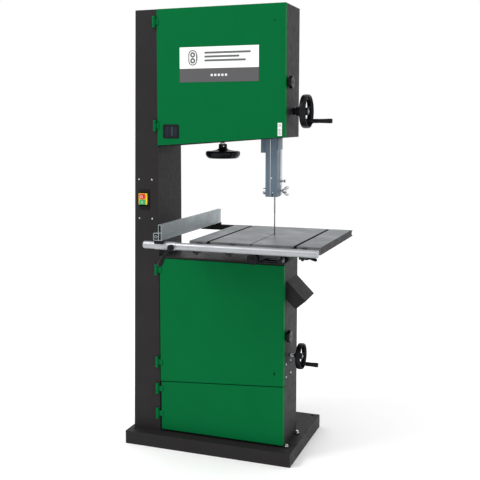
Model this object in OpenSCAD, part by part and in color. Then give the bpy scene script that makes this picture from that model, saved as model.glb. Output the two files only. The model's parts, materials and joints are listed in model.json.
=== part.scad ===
// Floor-standing vertical band saw.
// Frame: origin on the floor in the middle of the four anchor holes, +X to the right as the operator
// sees it, +Y to the back, +Z up. All sizes are in millimetres.

/* [Overall] */
// Height of the column above the floor
overall_h = 1900; // [1880:1:1960]
// Diameter of both band wheels over their tyres
wheel_d = 520; // [500:1:522]
// Height of the lower wheel's centre
lower_wheel_z = 565; // [560:1:568]
// Width of the saw blade
blade_w = 20; // [10:1:22]

/* [Base] */
// Width of the plinth
base_w = 762; // [755:1:800]
// Depth of the plinth
base_d = 497; // [490:1:520]
// Height of the plinth
base_h = 58; // [50:1:64]
// Anchor hole spacing across the plinth
anchor_x = 704; // [700:1:708]
// Anchor hole spacing front to back
anchor_y = 434; // [430:1:440]
// Anchor hole diameter
anchor_d = 14; // [12:1:16]

/* [Body] */
// Width of the column
column_w = 100; // [98:1:110]
// Depth of the column
column_d = 245; // [235:1:260]
// Width of the wheel housings
housing_w = 570; // [566:1:580]
// Depth from the column's front to the back of the housings
housing_d = 200; // [198:1:210]
// Height of the upper wheel housing
head_h = 558; // [552:1:560]
// Height of the lower housing's top above the floor
body_top_z = 846; // [840:1:848]
// How far the column's left side stands out at its foot
column_flare = 29; // [20:1:32]
// How much the head's underside rises from the column to its right side
head_rise = 43; // [30:1:46]
// Thickness of the welded sheet
sheet = 4; // [3:0.5:5]

/* [Doors] */
// Depth of the folded door edge
door_flange = 22; // [18:1:22]
// Height of the joint between the lower door and the motor door
door_split_z = 304; // [300:1:306]
// How much that joint rises from left to right
split_rise = 38; // [30:1:40]
// Top of the lower door
lower_door_top_z = 836; // [830:1:838]
// How far a door stands in front of the column
door_proud = 4; // [3:0.5:5]

/* [Table] */
// Height of the table surface above the floor
table_z = 954; // [952:1:960]
// Width of the table
table_w = 540; // [530:1:550]
// Depth of the table
table_d = 548; // [530:1:560]
// Height of the table's outer rim
table_rim = 30; // [26:1:34]
// Thickness of the table plate
table_plate = 12; // [11:0.5:12]
// Width of the mitre slots
slot_w = 12; // [10:1:14]
// Diameter of the front guide rail
rail_d = 30; // [28:1:32]

/* [Fence] */
// Height of the fence profile
fence_h = 64; // [60:1:70]
// Thickness of the fence profile
fence_t = 20; // [18:1:22]

/* [Guides] */
// Gap between the table and the upper blade guide
guide_gap = 160; // [150:1:170]
// Height of the guide post handwheel's axis
post_wheel_z = 1470; // [1466:1:1480]
// Diameter of the guide post handwheel
post_wheel_d = 140; // [120:1:150]
// Diameter of the blade tension handwheel
tension_wheel_d = 152; // [140:1:160]
// Diameter of the belt tension handwheel
belt_wheel_d = 112; // [100:1:120]

/* [Hidden] */
$fn = 64;

// Frame and main planes
wheel_r = wheel_d / 2;
column_x0 = -wheel_r - 76;
column_x1 = column_x0 + column_w;
body_x1 = column_x1 + housing_w;
plinth_y1 = anchor_y / 2 + 25;
plinth_y0 = plinth_y1 - base_d;
front_y = plinth_y1 - 440;
back_y = front_y + housing_d;
rim_y = front_y + 20;
head_z = overall_h - head_h;
upper_wheel_z = overall_h - 282;
blade_t = 0.8;
blade_gap = 0.6;
blade_x = wheel_r + blade_gap + blade_t / 2;
blade_y = front_y + 95;
blade_back_y = blade_y + blade_w / 2;

// Doors and hinges
door_gap = 1;
door_x0 = column_x1 + door_gap;
lower_door_x0 = door_x0 + 4;
motor_door_x0 = door_x0 + 7;
shelf_z = door_split_z - 4;
door_y0 = front_y - door_proud;
door_t = 2;
door_z0 = base_h + 10;
hinge_x = column_x1 - 10;
hinge_y = front_y - 8;
hinge_r = 7.5;
hinge_pin_r = 4;
knuckle_h = 24;
upper_hinge_z = [head_z + 69, overall_h - 52];
lower_hinge_z = [373, 785];
motor_hinge_z = [139, 252];
latch_y = front_y + 38;
upper_latch_z = 1587;
lower_latch_z = 532;
latch_shaft_r = 5;

// Wheels and drive
wheel_t = 30;
tyre_t = 6;
rim_t = 16;
hub_r = 38;
axle_r = 12.5;
fit_gap = 0.05;
wheel_y0 = blade_y - wheel_t / 2;
pulley_y = blade_y + 40;
pulley_t = 26;
wheel_pulley_r = 90;
motor_pulley_r = 45;
motor_z = 170;
motor_r = 78;
motor_y0 = back_y + 14;
motor_len = 210;
motor_bolt_xs = [-92, 92];
motor_bolt_zs = [motor_z - 64, motor_z + 80];
belt_screw_z = 432;
belt_screw_y = blade_y + 9;

// Upper wheel slide
slide_y = back_y - 35;
slide_half = 46;
slide_top_z = upper_wheel_z + 60;
slide_low_z = upper_wheel_z - 70;
tilt_y = blade_y + 38;
tracking_z = upper_wheel_z - 32;

// Guide post
post_x0 = blade_x - 14;
post_x1 = blade_x + 19;
post_y0 = blade_y + 19;
post_y1 = blade_y + 45;
guard_x0 = blade_x - 32;
guard_y0 = blade_y - 29;
guard_low_z = table_z + guide_gap;
post_low_z = guard_low_z + 46;
post_top_z = guard_low_z + 520;
rack_pitch = 6;
pinion_r = 10;
pinion_y = post_y0 - 2 - pinion_r;

// Table and rails
table_x0 = blade_x - 261;
table_x1 = table_x0 + table_w;
table_y0 = blade_y - 306;
table_y1 = table_y0 + table_d;
slot_offset = 179;
insert_r = 34;
trunnion_r = 95;
trunnion_ys = [blade_y - 62, blade_y + 72];
trunnion_t = 18;
pinion_off_x = -52;
tilt_lever_at = [blade_x + 58, front_y - 12, body_top_z + 10];
tilt_knob_z = table_z - sqrt(pow(trunnion_r + 9.5, 2) - pow(pinion_off_x, 2));
rail_y = table_y0 - 44;
rail_z = table_z - 19;
rail_x0 = column_x0 + 160;
rail_x1 = table_x1 + 1;
rear_rail_h = 24;

// Fence
fence_x1 = column_x0 + 247;
fence_x0 = fence_x1 - fence_t;
fence_y0 = rail_y - 28;
fence_y1 = table_y1 + 31;
fence_z0 = table_z + 4;
fence_pivot = [fence_x1 + 40, rail_y - 27, rail_z - 2];

// Crank handwheels: the rim's middle as a share of the radius, and where the grips stand
rim_share = 0.84;
post_grip_lean = -42;
belt_grip_lean = -58;

// Colours
green = [0.0, 0.40, 0.21];
charcoal = [0.20, 0.20, 0.20];
black = [0.06, 0.06, 0.07];
steel = [0.62, 0.65, 0.68];
cast = [0.50, 0.51, 0.52];
zinc = [0.80, 0.80, 0.80];
alloy = [0.75, 0.76, 0.77];

// A box from its low corner to its high corner
module span(low, high) {
    translate(low) cube(high - low);
}

// Height of the head's underside, and of the joint between the lower doors, at an x
function head_floor(x) = head_z + head_rise * ((x - column_x1) / housing_w - 0.5);
function split_at(x) = door_split_z + split_rise * ((x - column_x1) / housing_w - 0.5);

// A cylinder along +X from a point
module rod_x(at, r, len) {
    translate(at) rotate([0, 90, 0]) cylinder(r = r, h = len);
}

// A cylinder along +Y from a point
module rod_y(at, r, len) {
    translate(at) rotate([-90, 0, 0]) cylinder(r = r, h = len);
}

// A cylinder along +Z from a point
module rod_z(at, r, len) {
    translate(at) cylinder(r = r, h = len);
}

// Profile in the XZ plane, extruded along +Y from a point
module slab_y(at, len) {
    translate([at[0], at[1] + len, at[2]]) rotate([90, 0, 0]) linear_extrude(len) children();
}

// Hexagon head across flats
module hex_z(at, flats, h) {
    translate(at) cylinder(r = flats / sqrt(3), h = h, $fn = 6);
}

// Frame ---------------------------------------------------------------------

module base_plinth() {
    pocket_w = base_w / 2 - 2 * sheet - 4;
    pocket_d = base_d / 2 - 2 * sheet - 4;
    mid_y = (plinth_y0 + plinth_y1) / 2;
    color(charcoal) difference() {
        translate([0, mid_y, base_h / 2]) cube([base_w, base_d, base_h], center = true);
        for (sx = [-1, 1], sy = [-1, 1]) {
            translate([sx * (pocket_w / 2 + sheet + 2), mid_y + sy * (pocket_d / 2 + sheet + 2),
                       (base_h - sheet) / 2 - 1])
                cube([pocket_w, pocket_d, base_h - sheet + 2], center = true);
            rod_z([sx * anchor_x / 2, sy * anchor_y / 2, base_h - sheet - 1], anchor_d / 2, sheet + 2);
        }
    }
}

module frame_screws() {
    bolt_ys = [front_y + 14, back_y - 24];
    color(zinc) {
        // Hexagon screws that hold the housing's foot tabs to the plinth
        for (y = bolt_ys) {
            rod_z([body_x1 + 11, y, base_h + sheet], 9, 1.6);
            hex_z([body_x1 + 11, y, base_h + sheet + 1.6], 13, 9);
        }
        // Round heads on the right side below the belt tension handwheel
        for (y = [front_y + 37, front_y + 106], z = [355, 410])
            rod_x([body_x1, y, z], 5, 3);
        // Round heads around the switch
        for (x = [column_x0 + 8, column_x0 + 70], z = [1008, 1178])
            rod_y([x, front_y - 2.5, z], 4.5, 2.5);
        // Shoulder bolts that the motor plate slides on
        for (x = motor_bolt_xs, z = motor_bolt_zs) {
            rod_y([x, back_y, z], 4.5, 9);
            rod_y([x, back_y + 8.5, z], 9, 6);
        }
    }
}

// Outline of the column set in by a wall, with its left side leaning out to the foot
module column_face(wall, foot) {
    polygon([[column_x0 - column_flare + wall, base_h + foot], [column_x1 - wall, base_h + foot],
             [column_x1 - wall, overall_h - wall], [column_x0 + wall, overall_h - wall]]);
}

module column() {
    wheel_gap_y = [rim_y + 12, back_y - sheet];
    color(charcoal) difference() {
        slab_y([0, front_y, 0], column_d) column_face(0, 0);
        slab_y([0, front_y + sheet, 0], column_d - 2 * sheet) column_face(sheet, 6);
        // The wheels and the blade run through the column's inner wall
        span([column_x1 - sheet - 1, wheel_gap_y[0], head_z + 24],
             [column_x1 + 1, wheel_gap_y[1], overall_h - 24]);
        span([column_x1 - sheet - 1, wheel_gap_y[0], door_split_z + 12],
             [column_x1 + 1, wheel_gap_y[1], body_top_z - 14]);
        // Switch opening and cable gland hole
        span([column_x0 + 10, front_y - 1, 1060], [column_x0 + 54, front_y + sheet + 1, 1124]);
        rod_y([column_x0 + 50, front_y + column_d - sheet - 1, 240], 10, sheet + 2);
    }
}

// Open-fronted welded housing between two heights; its left side meets the column
module wheel_case(z0, z1) {
    difference() {
        span([column_x1, rim_y, z0], [body_x1, back_y, z1]);
        span([column_x1 - 1, rim_y - 1, z0 + sheet], [body_x1 - sheet, back_y - sheet, z1 - sheet]);
    }
}

// Outline of the head from an x to its right side, set in by a wall
module head_face(x0, wall) {
    x1 = body_x1 - wall;
    polygon([[x0, head_floor(x0) + wall], [x1, head_floor(x1) + wall], [x1, overall_h - wall],
             [x0, overall_h - wall]]);
}

module upper_housing() {
    depth = back_y - rim_y;
    color(charcoal) difference() {
        union() {
            difference() {
                slab_y([0, rim_y, 0], depth) head_face(column_x1, 0);
                slab_y([0, rim_y - 1, 0], depth + 1 - sheet) head_face(column_x1 - 1, sheet);
            }
            // Folded stiffener around the front rim
            difference() {
                slab_y([0, rim_y, 0], 3) head_face(column_x1, 1);
                slab_y([0, rim_y - 1, 0], 5) head_face(column_x1 - 1, sheet + 12);
            }
        }
        // Tension screw, blade guard and guide post openings in the floor
        rod_z([0, slide_y, head_floor(0) - 3], 12, sheet + 6);
        span([guard_x0 - 3, guard_y0 - 4, head_floor(guard_x0) - 4],
             [post_x1 + 5, post_y1 + 5, head_floor(post_x1) + sheet + 4]);
        // Handwheel and latch shafts through the right wall
        rod_x([body_x1 - sheet - 1, pinion_y, post_wheel_z], 8 + fit_gap, sheet + 2);
        rod_x([body_x1 - sheet - 1, latch_y, upper_latch_z], latch_shaft_r + fit_gap, sheet + 2);
        // Slot for the tracking screw in the back
        span([-8, back_y - sheet - 1, tracking_z - 32], [8, back_y + 1, tracking_z + 10]);
    }
}

module lower_housing() {
    chute_y = [front_y + 38, back_y - 10];
    color(charcoal) {
        difference() {
            wheel_case(base_h, body_top_z);
            // Blade slot and lower guide opening in the top
            span([blade_x - 14, blade_y - 24, body_top_z - sheet - 1],
                 [blade_x + 14, blade_y + 24, body_top_z + 1]);
            // Chute mouth, latch shaft and belt tension screw in the right wall
            span([body_x1 - sheet - 1, chute_y[0] + 3, 694], [body_x1 + 1, chute_y[1] - 3, 762]);
            rod_x([body_x1 - sheet - 1, latch_y, lower_latch_z], latch_shaft_r + fit_gap, sheet + 2);
            rod_x([body_x1 - sheet - 1, belt_screw_y, belt_screw_z], 7 + fit_gap, sheet + 2);
            // Slot for the belt tension yoke through the back
            span([body_x1 - 88, back_y - sheet - 1, belt_screw_z - 24],
                 [body_x1 - 62, back_y + 1, belt_screw_z + 36]);
            // Lower shaft and motor shaft through the back
            rod_y([0, back_y - sheet - 1, lower_wheel_z], 40, sheet + 2);
            span([-30, back_y - sheet - 1, motor_z - 30], [30, back_y + 1, motor_z + 44]);
        }
        // Shelf between the wheel and motor compartments, with a slot for the belt
        difference() {
            span([column_x1 + 2, rim_y, shelf_z - 3], [body_x1 - sheet, back_y - sheet, shelf_z]);
            span([-110, pulley_y - 8, shelf_z - 4], [110, pulley_y + pulley_t + 8, shelf_z + 1]);
        }
        // Front strip above the lower door, flush with the column
        span([column_x1, front_y, lower_door_top_z + 2], [body_x1, rim_y, body_top_z]);
        // Foot tabs on the plinth
        for (y = [front_y + 14, back_y - 24])
            difference() {
                span([body_x1 - 1, y - 12, base_h], [body_x1 + 22, y + 12, base_h + sheet]);
                rod_z([body_x1 + 11, y, base_h - 1], 5, sheet + 2);
            }
    }
}

module dust_chute() {
    depth = [front_y + 36, back_y - 8];
    run = 78;
    wall = 2.5;
    low = 688;
    high = 768;
    // Both faces slope down at 45 degrees
    color(charcoal) difference() {
        slab_y([body_x1, depth[0], 0], depth[1] - depth[0])
            polygon([[0, low], [0, high], [run, high - run], [run - 39, low - run + 39]]);
        slab_y([body_x1, depth[0] + wall, 0], depth[1] - depth[0] - 2 * wall)
            polygon([[-1, low + wall * 1.4 + 1], [-1, high - wall * 1.4 + 1],
                     [run + 4, high - wall * 1.4 - run - 4], [run - 33, low + wall * 1.4 - run + 33]]);
    }
}

module cable_gland() {
    gland_at = [column_x0 + 50, front_y + column_d, 240];
    color(black) difference() {
        union() {
            rod_y(gland_at + [0, -sheet, 0], 9.9, sheet + 1);
            translate(gland_at) rotate([-90, 0, 0]) cylinder(r = 14, h = 7, $fn = 6);
            rod_y(gland_at + [0, 7, 0], 11.5, 14);
        }
        rod_y(gland_at + [0, -sheet - 1, 0], 4.5, sheet + 24);
    }
}

// Switch --------------------------------------------------------------------

switch_x0 = column_x0 + 9;
switch_x1 = column_x0 + 58;
switch_z0 = 1047;
switch_z1 = 1136;
switch_box_x = [column_x0 + 11, column_x0 + 53];
key_x = [column_x0 + 14, column_x0 + 43];

module switch_plate() {
    color(black) difference() {
        union() {
            span([switch_x0, front_y - 3, switch_z0], [switch_x1, front_y, switch_z1]);
            span([switch_box_x[0], front_y, 1061], [switch_box_x[1], front_y + 45, 1123]);
        }
        span([switch_box_x[0] + 2, front_y - 4, 1063], [switch_box_x[1] - 2, front_y + 42, 1121]);
    }
}

module switch_frame() {
    color("gold") difference() {
        span([switch_x0 + 2, front_y - 12, 1067], [switch_x1 - 3, front_y - 3, 1119]);
        for (z = [1069, 1094])
            span([key_x[0] - 0.5, front_y - 13, z], [key_x[1] + 0.5, front_y - 2, z + 22]);
    }
}

// A push button that fills one window of the switch frame
module switch_key(z0) {
    span([key_x[0], front_y - 15, z0 + 0.5], [key_x[1], front_y + 2, z0 + 21.5]);
}

module start_button() {
    color("limegreen") switch_key(1069);
}

module stop_button() {
    color("red") {
        switch_key(1094);
        rod_y([(key_x[0] + key_x[1]) / 2, front_y - 21, 1105], 10, 8);
    }
}

// Hinges and doors ----------------------------------------------------------

// Fixed half of one hinge: two barrels welded to the column, with the pin through them
module hinge_fixed(z) {
    gap = 0.4;
    barrel_h = 11;
    for (s = [-1, 1])
        translate([0, 0, z + s * (knuckle_h / 2 + gap + barrel_h / 2)]) {
            rod_z([hinge_x, hinge_y, -barrel_h / 2], hinge_r, barrel_h);
            span([hinge_x - 6, hinge_y, -barrel_h / 2], [hinge_x + 6, front_y, barrel_h / 2]);
        }
    rod_z([hinge_x, hinge_y, z - knuckle_h / 2 - 4], hinge_pin_r, knuckle_h + 8);
}

module hinge_barrels() {
    color(green) for (z = concat(upper_hinge_z, lower_hinge_z, motor_hinge_z)) hinge_fixed(z);
}

// Outline of a door from an x to the right side, set in by a wall; low and high give the heights
// of its bottom and top edges at its left and right ends
module door_face(x0, low, high, wall) {
    x1 = body_x1 - wall;
    polygon([[x0 + wall, low[0] + wall], [x1, low[1] + wall],
             [x1, high[1] - wall], [x0 + wall, high[0] - wall]]);
}

// Folded sheet door with its two hinge knuckles
module door_pan(x0, low, high, hinge_zs) {
    difference() {
        union() {
            difference() {
                slab_y([0, door_y0, 0], door_flange) door_face(x0, low, high, 0);
                slab_y([0, door_y0 + door_t, 0], door_flange) door_face(x0, low, high, door_t);
            }
            for (z = hinge_zs) {
                rod_z([hinge_x, hinge_y, z - knuckle_h / 2], hinge_r, knuckle_h);
                span([hinge_x, door_y0 - 3, z - knuckle_h / 2], [x0 + 8, door_y0 + 1, z + knuckle_h / 2]);
            }
        }
        for (z = hinge_zs)
            rod_z([hinge_x, hinge_y, z - knuckle_h / 2 - 1], hinge_pin_r + fit_gap, knuckle_h + 2);
    }
}

// Hooked tongue inside a door; the latch's finger turns up in front of its lip
module door_catch(z) {
    x0 = body_x1 - 40;
    lip_y = latch_y + 4.8;
    span([x0, door_y0 + 1, z + 8], [x0 + 3, lip_y + 3, z + 24]);
    span([x0, lip_y, z + 8], [x0 + 18, lip_y + 3, z + 24]);
}

module upper_door() {
    color(green) {
        difference() {
            door_pan(door_x0, [head_floor(door_x0) + 6, head_floor(body_x1) + 2], [overall_h, overall_h],
                     upper_hinge_z);
            span([door_x0 + 30, door_y0 - 1, head_z + 19], [door_x0 + 96, door_y0 + door_t + 1, head_z + 70]);
            rod_y([body_x1 - 47, door_y0 - 1, overall_h - 68], 2.5, door_t + 2);
        }
        door_catch(upper_latch_z);
    }
}

module lower_door() {
    color(green) {
        difference() {
            door_pan(lower_door_x0, [split_at(lower_door_x0) + 2, split_at(body_x1) + 2],
                     [lower_door_top_z, lower_door_top_z], lower_hinge_z);
            rod_y([body_x1 - 39, door_y0 - 1, 380], 3, door_t + 2);
            span([body_x1 - 41, door_y0 - 1, 368], [body_x1 - 37, door_y0 + door_t + 1, 380]);
        }
        door_catch(lower_latch_z);
    }
}

module motor_door() {
    color(green) door_pan(motor_door_x0, [door_z0, door_z0],
                          [split_at(motor_door_x0) - 2, split_at(body_x1) - 2], motor_hinge_z);
}

module nameplate() {
    plate_x0 = column_x0 + 207;
    color("white") span([plate_x0, door_y0 - 1, 1592], [plate_x0 + 351, door_y0, 1737]);
}

module sight_window() {
    x0 = door_x0 + 26;
    x1 = door_x0 + 100;
    z0 = head_z + 15;
    z1 = head_z + 74;
    color(black) {
        difference() {
            span([x0, door_y0 - 3, z0], [x1, door_y0, z1]);
            span([x0 + 8, door_y0 - 4, z0 + 8], [x1 - 8, door_y0 + 1, z1 - 8]);
        }
        span([x0 + 4.5, door_y0, z0 + 4.5], [x1 - 4.5, door_y0 + 3, z1 - 4.5]);
    }
}

// Lobed latch knob on the right side with a finger on its inner end
module latch(z) {
    color(black) difference() {
        union() {
            rod_x([body_x1 + 0.6, latch_y, z], 16, 6);
            rod_x([body_x1 + 6, latch_y, z], 26, 15);
        }
        for (a = [0:60:300])
            rod_x([body_x1 + 5, latch_y + 32 * cos(a), z + 32 * sin(a)], 9, 20);
    }
    color(zinc) {
        rod_x([body_x1 - 34, latch_y, z], latch_shaft_r, 36);
        span([body_x1 - 34, latch_y - 22, z - 4.4], [body_x1 - 29, latch_y, z + 4.4]);
    }
}

module upper_latch() {
    latch(upper_latch_z);
}

module lower_latch() {
    latch(lower_latch_z);
}

// Upper wheel and blade tension ----------------------------------------------

module slide_rails() {
    color(cast) {
        for (s = [-1, 1])
            difference() {
                span([s > 0 ? slide_half + 0.3 : -slide_half - 18.3, slide_y - 22, slide_low_z - 50],
                     [s > 0 ? slide_half + 18.3 : -slide_half - 0.3, back_y - sheet, slide_top_z + 20]);
                span([s > 0 ? slide_half : -slide_half - 8, slide_y - 6.3, slide_low_z - 51],
                     [s > 0 ? slide_half + 8 : -slide_half, slide_y + 6.3, slide_top_z + 21]);
            }
        // Cross plate that carries the tension spring
        difference() {
            span([-slide_half - 18.3, slide_y - 22, slide_low_z - 62],
                 [slide_half + 18.3, back_y - sheet, slide_low_z - 50]);
            rod_z([0, slide_y, slide_low_z - 63], 10, 14);
        }
    }
}

module upper_slide() {
    color(cast) difference() {
        union() {
            span([-slide_half, slide_y - 16, slide_low_z], [slide_half, slide_y + 16, slide_top_z]);
            span([-slide_half - 7.6, slide_y - 6, slide_low_z], [slide_half + 7.6, slide_y + 6, slide_top_z]);
            // Ears for the tilt pivot
            for (s = [-1, 1])
                span([s * 37 - 6, tilt_y - 13, upper_wheel_z - 14],
                     [s * 37 + 6, slide_y - 15, upper_wheel_z + 14]);
        }
        rod_z([0, slide_y, slide_low_z - 1], 8.2, 40);
        rod_y([0, slide_y - 17, tracking_z], 6 + fit_gap, 34);
        rod_x([-50, tilt_y, upper_wheel_z], 5 + fit_gap, 100);
    }
}

module tilt_block() {
    color(steel) {
        difference() {
            span([-29, tilt_y - 10, tracking_z - 14], [29, tilt_y + 10, upper_wheel_z + 30]);
            rod_y([0, tilt_y + 2, tracking_z], 7, 9);
        }
        rod_x([-46, tilt_y, upper_wheel_z], 5, 92);
        rod_y([0, wheel_y0 - 8, upper_wheel_z], axle_r, tilt_y - wheel_y0);
        rod_y([0, wheel_y0 - 14, upper_wheel_z], 18, 6);
    }
}

// Spoked band wheel at a height
module band_wheel(z) {
    rim_r = wheel_r - tyre_t;
    color(cast) difference() {
        union() {
            difference() {
                rod_y([0, wheel_y0, z], rim_r, wheel_t);
                rod_y([0, wheel_y0 - 1, z], rim_r - rim_t, wheel_t + 2);
            }
            rod_y([0, wheel_y0 - 6, z], hub_r, wheel_t + 12);
            for (a = [0:72:288])
                translate([0, blade_y, z]) rotate([0, a, 0])
                    span([hub_r - 4, -5, -17], [rim_r - rim_t + 3, 5, 17]);
        }
        rod_y([0, wheel_y0 - 20, z], axle_r + fit_gap, wheel_t + 40);
    }
}

module band_tyre(z) {
    color(black) difference() {
        rod_y([0, wheel_y0, z], wheel_r, wheel_t);
        rod_y([0, wheel_y0 - 1, z], wheel_r - tyre_t, wheel_t + 2);
    }
}

module upper_wheel() {
    band_wheel(upper_wheel_z);
}

module upper_tyre() {
    band_tyre(upper_wheel_z);
}

// Dished handwheel about +Z with its hub's top at z = 0, its rim below
module dished_wheel(r) {
    difference() {
        union() {
            rotate_extrude() polygon([
                [0, 0], [18, 0], [18, -20], [26, -26], [r - 16, -33], [r - 6, -30], [r, -34],
                [r, -46], [r - 14, -64], [r - 24, -64], [r - 20, -46], [24, -40], [20, -52], [0, -52]
            ]);
        }
        for (a = [0:120:240])
            rotate(a) translate([r * 0.52, 0, -70]) cylinder(r = 10, h = 60);
    }
}

module tension_handwheel() {
    color(black) difference() {
        translate([0, slide_y, head_z - 11]) dished_wheel(tension_wheel_d / 2);
        rod_z([0, slide_y, head_z - 60], 8, 60);
    }
}

module tension_screw() {
    color(zinc) {
        rod_z([0, slide_y, head_z - 58], 8, slide_low_z + 6 - (head_z - 58));
        rod_z([0, slide_y, head_z + sheet + 1], 16, 8);
    }
}

module tension_spring() {
    turns = 7;
    spring_z0 = head_z + 16;
    spring_h = slide_low_z - 64 - spring_z0;
    color(zinc) for (i = [0:turns - 1])
        translate([0, slide_y, spring_z0 + 4 + i * (spring_h - 8) / (turns - 1)])
            rotate_extrude() translate([14, 0]) circle(r = 3, $fn = 16);
    // Guide sleeve that carries the coils
    color(zinc) difference() {
        rod_z([0, slide_y, spring_z0], 12, spring_h);
        rod_z([0, slide_y, spring_z0 - 1], 8.5, spring_h + 2);
    }
}

module tracking_knob() {
    color(zinc) rod_y([0, tilt_y + 4, tracking_z], 6, back_y + 30 - tilt_y);
    color(black) difference() {
        rod_y([0, back_y + 10, tracking_z], 24, 24);
        for (a = [30:60:330])
            rod_y([29 * cos(a), back_y + 9, tracking_z + 29 * sin(a)], 8, 26);
    }
}

// Blade -----------------------------------------------------------------------

module blade() {
    inner_r = wheel_r + blade_gap;
    outer_r = inner_r + blade_t;
    rise = upper_wheel_z - lower_wheel_z;
    color(steel) difference() {
        slab_y([0, blade_y - blade_w / 2, 0], blade_w) difference() {
            union() {
                translate([0, lower_wheel_z]) circle(r = outer_r, $fn = 128);
                translate([0, upper_wheel_z]) circle(r = outer_r, $fn = 128);
                translate([-outer_r, lower_wheel_z]) square([2 * outer_r, rise]);
            }
            translate([0, lower_wheel_z]) circle(r = inner_r, $fn = 128);
            translate([0, upper_wheel_z]) circle(r = inner_r, $fn = 128);
            translate([-inner_r, lower_wheel_z]) square([2 * inner_r, rise]);
        }
    }
}

// Lower wheel and drive --------------------------------------------------------

module shaft_housing() {
    color(cast) difference() {
        union() {
            rod_y([0, back_y, lower_wheel_z], 70, 12);
            rod_y([0, back_y - 30, lower_wheel_z], 36, 78);
        }
        rod_y([0, back_y - 31, lower_wheel_z], 15 + fit_gap, 90);
        for (a = [45:90:315])
            rod_y([56 * cos(a), back_y - 1, lower_wheel_z + 56 * sin(a)], 5, 14);
    }
}

module wheel_shaft() {
    color(steel) {
        rod_y([0, wheel_y0 - 10, lower_wheel_z], axle_r, wheel_t + 24);
        rod_y([0, wheel_y0 + wheel_t + 8, lower_wheel_z], 15, back_y + 46 - (wheel_y0 + wheel_t + 8));
        rod_y([0, wheel_y0 - 14, lower_wheel_z], 18, 5);
    }
}

module lower_wheel() {
    band_wheel(lower_wheel_z);
}

module lower_tyre() {
    band_tyre(lower_wheel_z);
}

// Grooved pulley about Y
module pulley(z, r, bore_r) {
    groove = 9;
    difference() {
        translate([0, pulley_y, z]) rotate([-90, 0, 0]) rotate_extrude() polygon([
            [bore_r, 0], [r + 4, 0], [r + 4, 4], [r + 4 - groove, 9], [r + 4 - groove, pulley_t - 9],
            [r + 4, pulley_t - 4], [r + 4, pulley_t], [bore_r, pulley_t]
        ]);
        if (r > 60)
            for (a = [0:60:300])
                rod_y([r * 0.58 * cos(a), pulley_y - 1, z + r * 0.58 * sin(a)], r * 0.17, pulley_t + 2);
    }
}

module wheel_pulley() {
    color(cast) pulley(lower_wheel_z, wheel_pulley_r, 15);
}

module motor_pulley() {
    color(cast) {
        pulley(motor_z, motor_pulley_r, 12);
        rod_y([0, pulley_y, motor_z], 12, motor_y0 + 10 - pulley_y);
    }
}

// Outline of the belt at a distance outside the groove floors. Its straight runs lie a hair
// inside the tangents, so that they cross the two rounds cleanly.
module belt_outline(extra) {
    drop = lower_wheel_z - motor_z;
    big = wheel_pulley_r - 4.5 + extra;
    small = motor_pulley_r - 4.5 + extra;
    lean = asin((big - small) / drop);
    big_in = big - 0.06;
    small_in = small - 0.06;
    translate([0, lower_wheel_z]) circle(r = big, $fn = 96);
    translate([0, motor_z]) circle(r = small, $fn = 96);
    polygon([
        [big_in * cos(lean), lower_wheel_z + big_in * sin(lean)],
        [-big_in * cos(lean), lower_wheel_z + big_in * sin(lean)],
        [-small_in * cos(lean), motor_z + small_in * sin(lean)],
        [small_in * cos(lean), motor_z + small_in * sin(lean)]
    ]);
}

module drive_belt() {
    color(black) slab_y([0, pulley_y + 9.3, 0], pulley_t - 18.6) difference() {
        belt_outline(8);
        belt_outline(0.3);
    }
}

module motor() {
    color(black) difference() {
        union() motor_body();
        rod_y([0, motor_y0 - 1, motor_z], 12 + fit_gap, 13);
    }
}

// Finned motor shell with its fan cover and terminal box
module motor_body() {
    union() {
        rod_y([0, motor_y0, motor_z], motor_r - 6, motor_len - 34);
        difference() {
            rod_y([0, motor_y0 + 24, motor_z], motor_r, motor_len - 80);
            for (i = [0:11])
                rod_ring(motor_y0 + 30 + i * 10, motor_r + 1, motor_r - 5, 5);
        }
        rod_y([0, motor_y0 + motor_len - 34, motor_z], motor_r, 34);
        // Terminal box on the motor's left
        span([-motor_r - 34, motor_y0 + 40, motor_z - 30], [-motor_r + 14, motor_y0 + 130, motor_z + 40]);
    }
}

// Ring about the motor's axis, used to cut the gaps between cooling fins
module rod_ring(y, r_out, r_in, t) {
    difference() {
        rod_y([0, y, motor_z], r_out, t);
        rod_y([0, y - 1, motor_z], r_in, t + 2);
    }
}

module motor_plate() {
    yoke_x = body_x1 - 78;
    color(charcoal) difference() {
        union() {
            span([-108, back_y + 0.5, motor_z - 84], [108, back_y + 8, motor_z + 100]);
            rod_y([0, back_y + 7, motor_z], 50, motor_y0 - back_y - 7);
            // Arm up the back to the yoke around the belt tension screw
            span([90, back_y + 0.5, motor_z + 70], [yoke_x + 8, back_y + 8, motor_z + 100]);
            span([yoke_x - 8, back_y + 0.5, motor_z + 70], [yoke_x + 8, back_y + 8, belt_screw_z + 20]);
            span([yoke_x, belt_screw_y - 16, belt_screw_z - 17], [yoke_x + 6, back_y + 8, belt_screw_z + 20]);
        }
        rod_y([0, back_y - 1, motor_z], 16, motor_y0);
        for (x = motor_bolt_xs, z = motor_bolt_zs)
            span([x - 5, back_y - 1, z - 14], [x + 5, back_y + 9, z + 8]);
        // Slot that lets the yoke rise along the screw
        span([yoke_x - 1, belt_screw_y - 8, belt_screw_z - 16],
             [yoke_x + 7, belt_screw_y + 8, belt_screw_z + 9]);
    }
}

// Where a crank handwheel's grip sits on the middle of its rim
function grip_at(at, r, lean) = at + [0, r * rim_share * cos(lean), r * rim_share * sin(lean)];

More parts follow.
